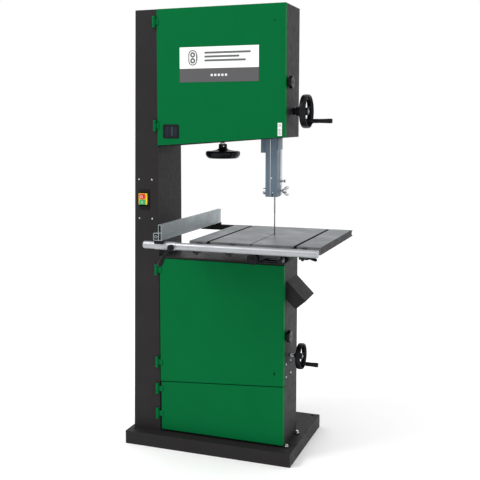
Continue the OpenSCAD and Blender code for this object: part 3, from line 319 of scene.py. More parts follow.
class Part:
    """Collects the shapes of one piece, in millimetres, in the row frame."""

    def __init__(self):
        self.bm = bmesh.new()

    def box(self, low, high, soft=0, turn=None, about=None, steps=2):
        """A box from low to high with softened edges, turned about a point."""
        low, high = Vector(low), Vector(high)
        made = bmesh.ops.create_cube(self.bm, size=1)["verts"]
        for v in made:
            v.co = Vector((v.co[i] + 0.5) * (high[i] - low[i]) + low[i] for i in range(3))
        if soft > 0:
            edges = list({e for v in made for e in v.link_edges})
            out = bmesh.ops.bevel(self.bm, geom=edges, offset=soft, segments=steps, profile=0.5,
                                  affect="EDGES", clamp_overlap=True)
            made = list({v for f in out["faces"] for v in f.verts} | {v for v in made if v.is_valid})
        if turn is not None:
            bmesh.ops.rotate(self.bm, cent=about, matrix=turn, verts=made)

    def rings(self, rows, closed=False):
        """Joins rows of points, each a loop, into a skin."""
        loops = [[self.bm.verts.new(p) for p in row] for row in rows]
        pairs = list(zip(loops, loops[1:])) + ([(loops[-1], loops[0])] if closed else [])
        for a, b in pairs:
            n = len(a)
            for i in range(n):
                self.bm.faces.new((a[i], a[(i + 1) % n], b[(i + 1) % n], b[i]))
        if not closed:
            self.bm.faces.new(list(reversed(loops[0])))
            self.bm.faces.new(loops[-1])

    def lathe(self, at, axis, outline, steps=40, lobes=0, depth=0, ring=False):
        """Turns an outline of (radius, height) about axis; lobes cut flutes of a depth into it."""
        m = basis(axis)
        rows = []
        for radius, height in outline:
            row = []
            for a in turns(steps):
                wave = depth * max(0, -cos(lobes * a)) if lobes else 0
                r = max(radius - wave * min(1, radius * 0.004), 0.01)
                row.append(Vector(at) + m @ vec(r * cos(a), r * sin(a), height))
            rows.append(row)
        self.rings(rows, closed=ring)

    def tube(self, path, radius, steps=12, closed=False, oval=(1, 1), up=None):
        """A round or oval tube along points; radius may be a list."""
        pts = [Vector(p) for p in path]
        radii = radius if isinstance(radius, list) else [radius] * len(pts)
        rows, n, side = [], len(pts), None
        for i, p in enumerate(pts):
            before = pts[i - 1] if i or closed else p
            after = pts[(i + 1) % n] if i < n - 1 or closed else p
            t = (after - before).normalized()
            guide = up or side or basis(t).col[0]
            side = (guide - t * guide.dot(t)).normalized()
            wide, tall = side * (radii[i] * oval[0]), t.cross(side) * (radii[i] * oval[1])
            rows.append([p + wide * cos(a) + tall * sin(a) for a in turns(steps)])
        self.rings(rows, closed=closed)

    def plate(self, loops, origin, u, v, thick):
        """A flat shape with holes, from loops of (u, v), thickened along u x v."""
        near = [self.bm.verts.new(Vector(origin) + u * a + v * b) for loop in loops for a, b in loop]
        far = [self.bm.verts.new(q.co + u.cross(v) * thick) for q in near]
        for a, b, c in tessellate_polygon([[Vector((*p, 0)) for p in loop] for loop in loops]):
            for side in (near, far):
                self.bm.faces.new((side[a], side[b], side[c]))
        start = 0
        for loop in loops:
            n = len(loop)
            for i in range(n):
                a, b = start + i, start + (i + 1) % n
                self.bm.faces.new((near[a], near[b], far[b], far[a]))
            start += n

    def pipe(self, at, axis, inner, outer, length, steps):
        self.lathe(at, axis, [(inner, 0), (outer, 0), (outer, length), (inner, length)], steps, ring=True)

    def hexagon(self, at, axis, flats, height, washer=0):
        """Bolt head with a chamfered crown, over a washer."""
        r, start = flats / sqrt(3), 0
        if washer:
            start = 1.6
            self.lathe(at, axis, [(washer, 0), (washer, 1.2), (washer * 0.96, start), (r * 0.5, start)], 32)
        self.lathe(at, axis, [(r, start), (r, start + height * 0.86), (flats * 0.48, start + height)], 6)

    def done(self, name, body, slot, look=None, smooth=38):
        """Makes the object, rides it on its body and gives it its finish."""
        bmesh.ops.scale(self.bm, vec=(MM, MM, MM), verts=self.bm.verts)
        bmesh.ops.remove_doubles(self.bm, verts=self.bm.verts, dist=0.002 * MM)
        bmesh.ops.recalc_face_normals(self.bm, faces=self.bm.faces)
        limit = radians(smooth)
        for f in self.bm.faces:
            f.smooth = True
        for e in self.bm.edges:
            e.smooth = len(e.link_faces) == 2 and e.calc_face_angle(0) < limit
        mesh = bpy.data.meshes.new(name)
        self.bm.to_mesh(mesh)
        self.bm.free()
        obj = new_object(name, mesh)
        mesh.materials.append(look or LOOK[slot])
        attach(obj, body)
        return obj


# Camera, floor and light -----------

def camera_and_stage():
    """The photograph's viewpoint, in shares of the machine's height, and a pale studio."""
    scene = bpy.context.scene
    data = bpy.data.cameras.new("camera")
    data.lens, data.shift_x, data.shift_y = 60.92, 0.0208, -0.06
    data.clip_end = 60
    cam = new_object("camera", data)
    cam.location = vec(0.6753, -1.7737, 0.7474) * (CAD_HIGH.z - CAD_LOW.z)
    cam.rotation_euler = (radians(90 - 6.16), 0, radians(20.53))
    scene.camera = cam

    floor, half, top = Part(), 9000, CAD_LOW.z / MM
    floor.box((-half, -half, top - 20), (half, half, top))
    obj = floor.done("floor", "frame", "dark_paint", paper_floor("floor_paper"))
    obj.parent = None

    scene.world = world = bpy.data.worlds.new("studio")
    world.use_nodes = True
    background = world.node_tree.nodes["Background"]
    background.inputs["Color"].default_value = (1, 1, 1, 1)
    background.inputs["Strength"].default_value = 1
    for name, place, size, power, aim in (
            ("key", (-2.6, -2.6, 4.8), 1.6, 105, (0, 0, 0.4)),
            ("fill", (4.6, -0.6, 2.2), 2.6, 9, (0, 0, 1))):
        lamp = bpy.data.lights.new(name, "AREA")
        lamp.size, lamp.energy = size, power
        light = new_object(name, lamp)
        light.location = place
        light.rotation_euler = (Vector(aim) - Vector(place)).to_track_quat("-Z", "Y").to_euler()
    scene.view_settings.view_transform = "Standard"
    scene.view_settings.look = "None"


camera_and_stage()


# CAD nodes -------------------------

SOFT_EDGE = {"upper_door": 2, "lower_door": 2, "motor_door": 2, "column": 2.4, "upper_housing": 2,
             "lower_housing": 2, "base_plinth": 2.4, "table": 1.2, "dust_chute": 1, "switch_plate": 1}


def finish_node(node):
    """Gives a CAD node its slot's finish and softens its sharp edges."""
    obj = frame["nodes"][node]
    obj.data.materials.clear()
    obj.data.materials.append(LOOK[SLOT_OF[node]])
    weld = obj.modifiers.new("weld", "WELD")
    weld.merge_threshold = 1e-5
    flat = obj.modifiers.new("flat", "DECIMATE")
    flat.decimate_type, flat.angle_limit = "DISSOLVE", radians(0.6)
    flat.delimit = {"MATERIAL"}
    edge = obj.modifiers.new("edge", "BEVEL")
    edge.width = SOFT_EDGE.get(node, 0.5) * MM
    edge.segments, edge.limit_method, edge.angle_limit = 2, "ANGLE", radians(35)
    edge.use_clamp_overlap = True
    obj.modifiers.new("even", "WEIGHTED_NORMAL")


def second_finish(node, slot, chosen):
    """Faces of a CAD node whose centre passes a test get another slot's finish."""
    mesh = frame["nodes"][node].data
    mesh.materials.append(LOOK[slot])
    for face in mesh.polygons:
        if chosen(face.center / MM, face.normal):
            face.material_index = len(mesh.materials) - 1


for name in frame["nodes"]:
    finish_node(name)


# Reference points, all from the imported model 
DOOR_Y = PLATE[1].y
UPPER_DOOR = box("upper_door")
HEAD, BODY, TABLE = box("upper_housing"), box("lower_housing"), box("table")
WALL, FRONT = HEAD[1].x, box("column")[0].y
RAIL, FENCE = box("front_rail"), box("fence_profile")
RAIL_Y, RAIL_Z = RAIL[0].y + 15, TABLE[1].z - 19
GUARD, WINDOW = box("blade_guard"), box("sight_window")
MOTOR = box("motor")
MOTOR_R = MOTOR[1].z - JOINT_POS["motor_spin"].z
HINGE = JOINT_POS["upper_door_hinge"]


def circle(cx, cy, r, n=24):
    return [(cx + r * cos(a), cy + r * sin(a)) for a in turns(n)]


def rounded(x0, y0, x1, y1, r, n=5):
    """Outline of a rectangle with rounded corners."""
    out = []
    corners = (x1 - r, y1 - r), (x0 + r, y1 - r), (x0 + r, y0 + r), (x1 - r, y0 + r)
    for k, (cx, cy) in enumerate(corners):
        for i in range(n + 1):
            a = radians(90 * (k + i / n))
            out.append((cx + r * cos(a), cy + r * sin(a)))
    return out


# Markings --------------------------

PRINT = two_tone("grey_print", 0, DARK_GREY, (0.1, 0.1, 0.105))
LABEL = two_tone("label_film", 0, WHITE, (0.8, 0.8, 0.79))
PALE_PRINT = two_tone("pale_print", 0, WHITE, (0.74, 0.74, 0.74))
FILM = 0.25


def front_print(part, loops, y):
    """Printed shapes on a face that looks to the front; the points are (x, z)."""
    part.plate(loops, (0, y, 0), X, Z, FILM)


def nameplate_marks():
    """A plain pictogram of a band round two wheels, with blank bars beside it."""
    low, high = PLATE
    width, y = high.x - low.x, low.y
    mid_z, size = (PLATE_SPLIT + high.z) / 2, (high.z - PLATE_SPLIT) * 0.36
    cx = low.x + width * 0.17
    part = Part()
    band = rounded(cx - size * 0.62, mid_z - size, cx + size * 0.62, mid_z + size, size * 0.6, 10)
    wide, tall = size * 0.48, size * 0.86
    hole = rounded(cx - wide, mid_z - tall, cx + wide, mid_z + tall, size * 0.46, 10)
    front_print(part, [band, hole], y)
    for side in (-1, 1):
        centre = mid_z + side * size * 0.38
        front_print(part, [circle(cx, centre, size * 0.36, 28), circle(cx, centre, size * 0.14, 16)], y)
    for i in range(6):
        x, z = cx + size * 0.62, mid_z - size * 0.36 + i * size * 0.13
        front_print(part, [[(x, z), (x + size * 0.12, z + size * 0.02), (x, z + size * 0.12)]], y)
    for row, share in ((0.48, 0.58), (-0.02, 0.44), (-0.52, 0.52)):
        x, z = low.x + width * 0.32, mid_z + row * size
        front_print(part, [rounded(x, z, x + width * share, z + size * 0.26, size * 0.1)], y)
    part.done("nameplate_print", "upper_door", "nameplate", PRINT)
    part = Part()
    for i in range(5):
        x, z = low.x + width * (0.4 + 0.045 * i), (low.z + PLATE_SPLIT) / 2
        front_print(part, [rounded(x, z - 4.5, x + width * 0.028, z + 4.5, 1.2)], y)
    part.done("nameplate_dots", "upper_door", "nameplate", PALE_PRINT)


def door_label():
    """Small blank sticker near the door's free edge."""
    x1, z0 = UPPER_DOOR[1].x - 13, WINDOW[0].z + 13
    part = Part()
    front_print(part, [rounded(x1 - 18, z0, x1, z0 + 53, 1.5)], DOOR_Y)
    part.done("door_label", "upper_door", "nameplate", LABEL)
    part = Part()
    for i, wide in enumerate((10, 12, 7, 12, 9)):
        z = z0 + 6 + 5 * i
        front_print(part, [rounded(x1 - 15, z, x1 + wide - 15, z + 1.6, 0.5)], DOOR_Y - FILM)
    ring = x1 - 9, z0 + 42
    front_print(part, [circle(*ring, 5), circle(*ring, 3.6, 20)], DOOR_Y - FILM)
    part.done("door_label_print", "upper_door", "nameplate", PRINT)


def key_marks():
    """The usual bar and ring on the start and stop keys."""
    for node, body, mark in (("start_button", "start_key", "bar"), ("stop_button", "stop_key", "ring")):
        (cx, _, cz), y = middle(node), box(node)[0].y
        part = Part()
        if mark == "bar":
            wide, tall = 1.1, 5.5
            front_print(part, [rounded(cx - wide, cz - tall, cx + wide, cz + tall, 0.5)], y)
        else:
            front_print(part, [circle(cx, cz, 5, 28), circle(cx, cz, 3.6, 28)], y + 0.1)
        part.done(node + "_mark", body, "nameplate", PALE_PRINT)


# Handwheels ------------------------

RIM_SHARE, RIM_DEEP = 0.16, 1.6


def crank_wheel(node, family, shaft_r, sleeve):
    """Crank wheel about X: deep oval rim, swept spokes, stepped hub. Returns its shaft, still open."""
    at, grip = JOINT_POS[family + "_wheel_turn"], JOINT_POS[family + "_grip_spin"]
    low, high = box(node)
    r = high.z - at.z
    tube = r * RIM_SHARE
    deep, web = tube * RIM_DEEP, tube * 0.52
    mid = r - web
    lean = atan2(grip.z - at.z, grip.y - at.y)
    part = Part()
    ring = [(mid + web * cos(a), deep * (0.74 + 0.26 * cos(a)) * copysign(abs(sin(a)) ** 0.75, sin(a)))
            for a in turns(20)]
    part.lathe(at, X, ring, 72, ring=True)
    for k in range(3):
        a = lean + pi * (2 * k + 1) / 3
        out = vec(0, cos(a), sin(a))
        steps = [0.12, 0.34, 0.58, 0.82, 0.97]
        path = [at + out * (mid * s) - X * (r * 0.1 * sin(pi * s)) for s in steps]
        part.tube(path, [r * 0.11, r * 0.09, r * 0.08, r * 0.085, r * 0.11], 14, oval=(0.45, 1), up=X)
    hub, front = r * 0.2, r * 0.12
    part.lathe(at, X, [(hub * share, x - at.x) for share, x in sleeve] + [
        (hub * 0.86, -r * 0.27), (hub * 1.12, -r * 0.2), (hub * 1.15, front * 0.75), (hub * 1, front)], 40)
    boss = grip - at
    part.lathe(at + vec(-deep, boss.y, boss.z), X, [
        (tube * 0.75, -0.8), (tube * 0.95, 0), (tube, deep * 2 - 1), (tube * 0.9, deep * 2 + 1)], 32)
    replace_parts(part.done(node + "_wheel", family + "_wheel", "black_plastic"), node)
    part = Part()
    part.lathe(at, X, [(hub * 0.4, front), (hub * 0.4, front + 0.6), (hub * 0.34, front + 1.1)], 32)
    part.hexagon(at + vec(front + 1, 0, 0), X, hub * 0.45, 2.2)
    start, end = low.x, at.x - low.x - r * 0.1
    part.lathe((start, at.y, at.z), X, [
        (shaft_r * 0.85, 0), (shaft_r, 0.8), (shaft_r, end), (shaft_r * 0.9, end)], 32)
    return part


def guide_handwheel():
    """Upper handwheel on a stepped sleeve that stands out from the wall, with its pinion shaft."""
    collar = [(0.7, 2), (1.08, 3), (1.12, 12), (0.95, 13.5), (0.95, 16), (1.3, 18), (1.32, 31), (1, 34)]
    part = crank_wheel("guide_handwheel", "post", 8, [(share, WALL + x) for share, x in collar])
    at, start = JOINT_POS["post_wheel_turn"], box("guide_handwheel")[0].x
    # Pinion teeth that run in the post's rack
    teeth, tip, root = 12, 10, 8.3
    profile = list(zip([tip, tip, root, root] * teeth, turns(teeth * 4)))
    part.rings([[vec(x, at.y + r * cos(a), at.z + r * sin(a)) for r, a in profile]
                for x in (start, start + 12)])
    part.done("guide_shaft", "post_wheel", "bright_steel")


def thread(count, pitch, root, crest):
    """Outline of a screw's ridges, for lathe."""
    return [point for i in range(count) for point in ((root, i * pitch), (crest, (i + 0.5) * pitch))]


def belt_handwheel():
    """Lower handwheel on its threaded screw, with the shoulder and the yoke's two nuts."""
    at = JOINT_POS["belt_wheel_turn"]
    part = crank_wheel("belt_handwheel", "belt", 7, [(0.62, at.x - 30), (0.9, at.x - 29), (0.92, at.x - 20)])
    for offset, sides in ((12, 32), (71, 6), (86, 6)):
        part.lathe((WALL - offset, at.y, at.z), X, [(10, 0), (12, 1), (12, 6), (10, 7)], sides)
    part.lathe((WALL - 64, at.y, at.z), X, thread(41, 2, 6.9, 7.3), 24)
    part.done("belt_shaft", "belt_wheel", "zinc")


def crank_grip(node, wheel_node, body):
    """Turned grip with a ferrule and a domed end screw."""
    at = JOINT_POS[body + "_spin"]
    low, high = box(node)
    width = (high.z - low.z) / 2
    rim = box(wheel_node)
    tube = RIM_SHARE * (rim[1].z - rim[0].z) / 2
    boss_end = low.x + (1 + RIM_DEEP) * tube + 1.9
    length = high.x - boss_end
    shape = [(0.72, 0), (0.84, 0.02), (0.92, 0.08), (0.9, 0.2), (0.86, 0.32), (0.9, 0.52),
             (0.97, 0.74), (1, 0.88), (0.94, 0.95), (0.78, 0.985), (0.5, 0.995)]
    part = Part()
    part.lathe((boss_end, at.y, at.z), X, [(width * wide, length * far) for wide, far in shape], 40)
    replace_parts(part.done(node + "_handle", body, "black_plastic"), node)
    part = Part()
    part.lathe((low.x, at.y, at.z), X, [(3.2, 0), (4, 0.7), (4, boss_end - low.x)], 24)
    part.lathe((boss_end - 1.6, at.y, at.z), X, [
        (width * 0.5, 0), (width * 0.66, 0.3), (width * 0.66, 1.4), (width * 0.5, 1.7)], 32)
    part.lathe((high.x - 1.2, at.y, at.z), X, [(3, 0), (3, 0.8), (2.4, 1.2)], 24)
    part.done(node + "_pin", body, "zinc")


def star_cap(name, body, at, axis, r):
    """Round moulded cap with a raised centre in a knob's face."""
    part = Part()
    part.lathe(at, axis, [(r, -0.4), (r, 0.3), (r * 0.93, 0.6)], 32)
    part.lathe(at, axis, [(r * 0.5, 0.5), (r * 0.5, 1.2), (r * 0.42, 1.6)], 24)
    part.done(name, body, "black_plastic")


def tension_handwheel():
    """Fluted dished wheel with a finger groove and a collar on the screw."""
    low, high = box("tension_handwheel")
    cx, cy, _ = middle("tension_handwheel")
    r, top = (high.x - low.x) / 2, high.z
    part = Part()
    outline = [(0.13, -0.2), (0.24, 0), (0.245, -14), (0.25, -19), (0.34, -24), (0.52, -27.5), (0.72, -30),
               (0.86, -30.5), (0.955, -31.5), (1, -36), (1, -45), (0.96, -53), (0.88, -60), (0.8, -63),
               (0.72, -62), (0.68, -58), (0.66, -48), (0.52, -42), (0.3, -40), (0.27, -44), (0.26, -52),
               (0.12, -52)]
    rows = []
    for share, z in outline:
        fluted = share > 0.8 and -62 < z < -32
        radii = [(share * r - (1.6 * max(0, cos(12 * a)) ** 2 if fluted else 0), a) for a in turns(96)]
        rows.append([vec(cx + q * cos(a), cy + q * sin(a), top + z) for q, a in radii])
    part.rings(rows)
    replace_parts(part.done("tension_handwheel_dish", "tension_wheel", "black_plastic", smooth=50),
                "tension_handwheel")
    part = Part()
    part.lathe((cx, cy, top - 0.2), Z, [(9, 0), (12, 0.4), (12, 4.5), (10.5, 5.5), (8.2, 5.5)], 32)
    part.tube([(cx + 11, cy - far, top - 9) for far in (15, 19.5)], 3, 6)
    screw = box("tension_screw")
    start, pitch = low.z + 3, 2.5
    part.lathe((cx, cy, start), Z, thread(int((screw[1].z - start) / pitch), pitch, 7.2, 8), 24)
    collar = [(9, 0), (16, 0.6), (16, 7), (14, 8), (9, 8)]
    part.lathe((cx, cy, box("tension_spring")[0].z - 11), Z, collar, 40)
    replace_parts(part.done("tension_thread", "tension_wheel", "zinc"), "tension_screw")


def tension_spring():
    """Coil with closed ends over a sleeve."""
    low, high = box("tension_spring")
    cx, cy, _ = middle("tension_spring")
    tall, coil, wire, steps = high.z - low.z, 14, 2.8, 20
    last = 8.5 * steps
    path = []
    for i in range(int(last) + 1):
        a = 2 * pi * i / steps
        lift = min(max((i / last - 0.08) / 0.84, 0), 1)
        path.append((cx + coil * cos(a), cy + coil * sin(a), low.z + wire + lift * (tall - 2 * wire)))
    part = Part()
    part.tube(path, wire, 10, up=Z)
    part.pipe((cx, cy, low.z), Z, 8.6, 10.6, tall, 32)
    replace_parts(part.done("tension_coil", "frame", "zinc"), "tension_spring")


# Blade and drive -------------------

def outward(a):
    """Direction at an angle in the plane of the wheels."""
    return vec(cos(a), 0, sin(a))


def band_path(radius, z_low, z_high, count):
    """Points and outward normals evenly round two wheels, down on the right."""
    straight, arc = z_high - z_low, pi * radius
    for i in range(count):
        back, s = divmod(2 * (straight + arc) * i / count, straight + arc)
        side, start = (-1, z_low) if back else (1, z_high)
        if s < straight:
            yield vec(radius, 0, 0) * side + Z * (start - side * s), X * side
        else:
            out = outward(-(s - straight) / radius) * side
            yield Z * (z_high if back else z_low) + out * radius, out


def saw_blade():
    """Toothed band: raked teeth with round gullets and a small set, all the way round."""
    low, high = box("blade")
    thick, set_out, teeth = 0.4, 0.22, 420
    radius = (high.x - low.x) / 2 - thick
    z_low, z_high = low.z + radius + thick, high.z - radius - thick
    cuts = [(0, 0), (0.1, 2.4), (0.24, 3), (0.42, 2.3)]
    points = list(band_path(radius, z_low, z_high, teeth * 20))
    part = Part()
    rows = []
    for t in range(teeth):
        bend = set_out if t % 2 else -set_out
        for share, depth in cuts:
            p, out = points[(t * 20 + round(share * 20)) % len(points)]
            face, inside = p + out * thick, p - out * 0.12
            shift = out * bend if depth == 0 else Vector()
            tip, root, back = Y * (low.y + depth), Y * (low.y + 4), Y * high.y
            rows.append([face + shift + tip, face + root, face + back, inside + back, inside + root,
                         inside + shift + tip])
    part.rings(rows, closed=True)
    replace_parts(part.done("toothed_blade", "frame", "blade_steel", smooth=25), "blade")


def drive_belt():
    """V-belt with moulded cogs on its inner side."""
    low, high = box("drive_belt")
    big_z, small_z = JOINT_POS["lower_wheel_spin"].z, JOINT_POS["motor_spin"].z
    outer_big, outer_small = (high.x - low.x) / 2, small_z - low.z
    lean = asin((outer_big - outer_small) / (big_z - small_z))
    big, small = vec(0, 0, big_z), vec(0, 0, small_z)
    around = pi - 2 * lean
    pulleys = [(big, outer_big, lean, around, 60), (small, outer_small, pi - lean, 2 * pi - around, 40)]
    samples = []
    for (at, r, start, sweep, count), (next_at, next_r, *_) in zip(pulleys, pulleys[::-1]):
        for i in range(count):
            out = outward(start + sweep * i / count)
            samples.append((out, at + out * r))
        out = outward(start + sweep)
        samples += [(out, (at + out * r).lerp(next_at + out * next_r, i / 50)) for i in range(50)]
    mid_y, wide, narrow = (low.y + high.y) / 2, (high.y - low.y) / 2, (high.y - low.y) * 0.34
    rows = []
    for k, (out, p) in enumerate(samples):
        inner = p - out * (7.5 if k % 2 else 5.6)
        rows.append([p + Y * (mid_y - wide), p + Y * (mid_y + wide),
                     inner + Y * (mid_y + narrow), inner + Y * (mid_y - narrow)])
    part = Part()
    part.rings(rows, closed=True)
    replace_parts(part.done("v_belt", "frame", "rubber", smooth=20), "drive_belt")


def wheel_brush():
    """Bristle tufts in a holder, leaning on the lower wheel's tyre."""
    centre = JOINT_POS["lower_wheel_spin"]
    tyre = box("lower_tyre")
    r = (tyre[1].x - tyre[0].x) / 2
    lean = radians(35)
    out, along = outward(lean + pi / 2), outward(lean)
    hub = vec(centre.x, box("blade")[0].y + 10, centre.z)
    foot = hub + out * (r + 1)
    part = Part()
    for i in range(11):
        for j in range(7):
            tip = foot + along * ((i - 5) * 4.1) + Y * ((j - 3) * 3.9)
            root = tip + out * 24
            # Each tuft ends just above the tyre's round face
            need = sqrt(max((r + 0.8) ** 2 - (tip - hub).dot(along) ** 2, 0))
            tip = tip + out * (need - (tip - hub).dot(out))
            sway = along * random.uniform(-0.8, 0.8) + Y * random.uniform(-0.8, 0.8)
            part.tube([root, (root + tip) / 2 + sway * 0.4, tip + sway], [1.5, 1.7, 1.9], 7)
    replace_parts(part.done("brush_tufts", "frame", "brush"), "wheel_brush")
    part = Part()
    turn = Matrix.Rotation(-lean, 3, "Y")
    at = foot + out * 27
    part.box(at - vec(24, 14, 3), (at.x + 24, box("wheel_brush")[1].y, at.z + 3), 0.8, turn, at)
    part.done("brush_holder", "frame", "dark_paint")


# Blade guides ----------------------

def guide_screws():
    """Wing screw and hexagon screw on the right of the guide head, knurled knob on its left."""
    low, high = box("guide_screws")
    y = (low.y + high.y) / 2
    left, right = box("guide_head")[0].x, GUARD[1].x
    part = Part()
    # Right: wing screw
    z = low.z + 18
    wing_hub = [(3.6, 0), (4, 0.5), (4, 7), (10, 8), (11, 10), (10, 20), (7, 24), (3, 25)]
    part.lathe((right, y, z), X, wing_hub, 32)
    for side in (-1, 1):
        base = vec(right + 15, y, z + side * 6)
        path = [base + vec(dx, 0, side * dz) for dx, dz in ((0, 0), (4, 4.5), (11, 8), (19, 9))]
        part.tube(path, [4.6, 6, 6.4, 3.4], 12, oval=(0.42, 1), up=Y)
    # Right, above: hexagon screw with a lock nut
    z = high.z - 7
    part.lathe((right, y, z), X, [(4, 0), (4, 13)], 20)
    part.hexagon((right + 1, y, z), X, 12, 5)
    part.hexagon((right + 12, y, z), X, 12, 7, washer=7)
    # Left: knurled knob with a lock ring
    z = low.z + 15
    part.lathe((left, y, z), LEFT, [(4, 0), (4, 24)], 20)
    knob = [(9, 0), (14, 1.5), (14.8, 4), (14.8, 14), (13.5, 17), (9, 18.5), (8, 15), (3, 15)]
    part.lathe((left - 22, y, z), LEFT, knob, 96, lobes=24, depth=1)
    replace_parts(part.done("guide_thumb_screws", "guide_post", "zinc"), "guide_screws")
    part = Part()
    lock_ring = [(6, 0), (12.5, 0.8), (13, 2), (13, 7), (12.5, 8.2), (6, 9)]
    part.lathe((left - 12, y, z), LEFT, lock_ring, 72, lobes=18, depth=0.8)
    part.done("guide_lock_ring", "guide_post", "black_steel")


def guard_details():
    """Bright zinc strip down the guard's face as a painted highlight of a fold, slot at its foot, and rivets."""
    low, high = GUARD
    y = low.y
    # Bright strip down the face: a painted highlight where a fold in the front plate catches the light
    part = Part()
    x = low.x + 0.42 * (high.x - low.x)
    part.box((x - 0.9, y - 1.1, low.z + 6), (x + 0.9, y + 0.2, high.z - 6), 0.35)
    part.done("guard_highlight_strip", "guide_post", "zinc")
    # Slot between the guard's two feet, where the band runs
    part = Part()
    slot_x, half = (box("blade")[1].x + low.x) / 2 + 14, 2.2
    slot = rounded(slot_x - half, low.z + 0.2, slot_x + half, low.z + 13, 1.5)
    part.plate([slot], (0, y, 0), X, Z, 0.4)
    part.done("guard_slot", "guide_post", "black_steel")
    part = Part()
    for dx, z, r in ((5, low.z + 78, 3.2), (12, low.z + 18, 2.4), (12, high.z - 24, 2.4)):
        dome = [(r, 0), (r, 0.5), (r * 0.8, 1.2), (r * 0.35, 1.5)]
        part.lathe((x + dx, y - 0.3, z), FORWARD, dome, 24)
    part.done("guard_rivets", "guide_post", "zinc")


# Small hardware --------------------

def window_insert():
    """Ribbed dark glazing in the sight window's frame, with a pale strip down it as a painted highlight."""
    frame_wide, half, count = 8.3, 0.7, 48
    x0, z0 = WINDOW[0].x + frame_wide, WINDOW[0].z + frame_wide
    x1, z1 = WINDOW[1].x - frame_wide, WINDOW[1].z - frame_wide
    outline = [(x1, DOOR_Y), (x0, DOOR_Y)]
    for t in (i / count for i in range(count + 1)):
        rib = 0.5 + 0.5 * cos(2 * pi * (t * 3 - 0.85))
        outline.append((x0 + (x1 - x0) * t, DOOR_Y - (0.5 + 2 * rib ** 1.5)))
    part = Part()
    part.plate([outline], (0, 0, z0), X, Y, z1 - z0)
    part.done("window_ribs", "upper_door", "black_plastic", GLAZING)
    # A pale strip down the glazing: a painted highlight where the ribs catch the light
    part = Part()
    x = x0 + (x1 - x0) * 0.615
    part.box((x - half, DOOR_Y - 3, z0 + 1), (x + half, DOOR_Y - 2.3, z1 - 1), 0.25)
    part.done("window_highlight_strip", "upper_door", "guard_steel")


def table_bolts():
    """Hexagon bolts under the rail's brackets, and the rear rail's bolts."""
    part = Part()
    bolt = 10, 5.5, 8  # flats, height, washer
    for x in (TABLE[0].x + 45, TABLE[0].x + 185, TABLE[1].x - 62):
        part.hexagon((x, RAIL[0].y + 27, RAIL[0].z), DOWN, *bolt)
        part.hexagon((x, RAIL[1].y - 8, RAIL[0].z + 24), FORWARD, *bolt)
    rear = box("rear_rail")
    for share in (0.3, 0.6, 0.9):
        x = rear[0].x + share * (rear[1].x - rear[0].x)
        part.hexagon((x, rear[0].y + 3, (rear[0].z + rear[1].z) / 2), Y, 10, 5, 8)
    part.done("rail_bolts", "table", "black_steel")


def table_lever():
    """Small cranked lever on a stud under the table's right front."""
    stud = vec(TABLE[1].x - 71, TABLE[0].y + 59, TABLE[1].z - 11.5)
    part = Part()
    part.lathe(stud, DOWN, [(9, 0), (9, 9), (6, 11), (5.5, 31), (10, 33), (11, 45), (8, 49)], 28)
    out = vec(0.94, -0.34, -0.1).normalized()
    arm = ((4, 5), (12, 4.2), (22, 4.6), (34, 6), (44, 6.4), (48, 4))
    part.tube([stud + DOWN * 40.5 + out * far for far, _ in arm], [r for _, r in arm], 16)
    part.done("table_lever", "table", "black_plastic")


def rail_details():
    """Domed left end, and the joint and end rings of the front rail."""
    r = 15
    part = Part()
    dome = [(r * 0.985, 0), (r * 0.96, 2), (r * 0.85, 4.2), (r * 0.6, 6), (r * 0.25, 6.8)]
    part.lathe((RAIL[0].x + 0.3, RAIL_Y, RAIL_Z), LEFT, dome, 40)
    part.done("rail_cap", "table", "rail_tube")
    part = Part()
    joint = [(r - 0.5, 0), (r + 0.04, 0.1), (r + 0.04, 1.3), (r - 0.5, 1.4)]
    for x in (TABLE[0].x + 21, RAIL[1].x - 9):
        part.lathe((x, RAIL_Y, RAIL_Z), X, joint, 40, ring=True)
    part.done("rail_rings", "table", "black_steel")


def fence_extrusion():
    """Tall hollow fence profile with a wide looped foot on its left and grooves on its face."""
    low, high = FENCE
    tall, wide = high.z - low.z, high.x - low.x
    web, foot_top = wide - 14, 30
    outer = [(1.5, 0), (wide, 0)]
    for z in (12, 26, 40, 54):
        outer += [(wide, z), (wide - 0.5, z + 0.5), (wide - 0.5, z + 1.5), (wide, z + 2)]
    outer += [(wide, tall - 1), (wide - 1, tall), (web + 1, tall), (web, tall - 1), (web, foot_top),
              (3, foot_top), (0, foot_top - 3), (0, 2)]
    wall = 2.4
    holes = [rounded(web + wall, wall, wide - wall, foot_top - 1, 1.5),
             rounded(web + wall, foot_top + 1.4, wide - wall, tall - wall, 1.5),
             rounded(wall, wall, web - 0.6, foot_top - wall, 4)]
    part = Part()
    part.plate([outer, *holes], (low.x, high.y, low.z), X, Z, high.y - low.y)
    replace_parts(part.done("fence_extrusion", "fence", "aluminium", smooth=30), "fence_profile")
    part = Part()
    cx, cz = low.x + web * 0.5, low.z + foot_top * 0.5
    part.plate([circle(cx, cz, 6.2, 28), circle(cx, cz, 4)], (0, high.y - 2, 0), X, Z,
               high.y - low.y - 3)
    part.box((cx + 5.5, low.y + 1, cz - 1), (low.x + web + 1, high.y - 2, cz + 1))
    part.done("fence_curl", "fence", "aluminium")


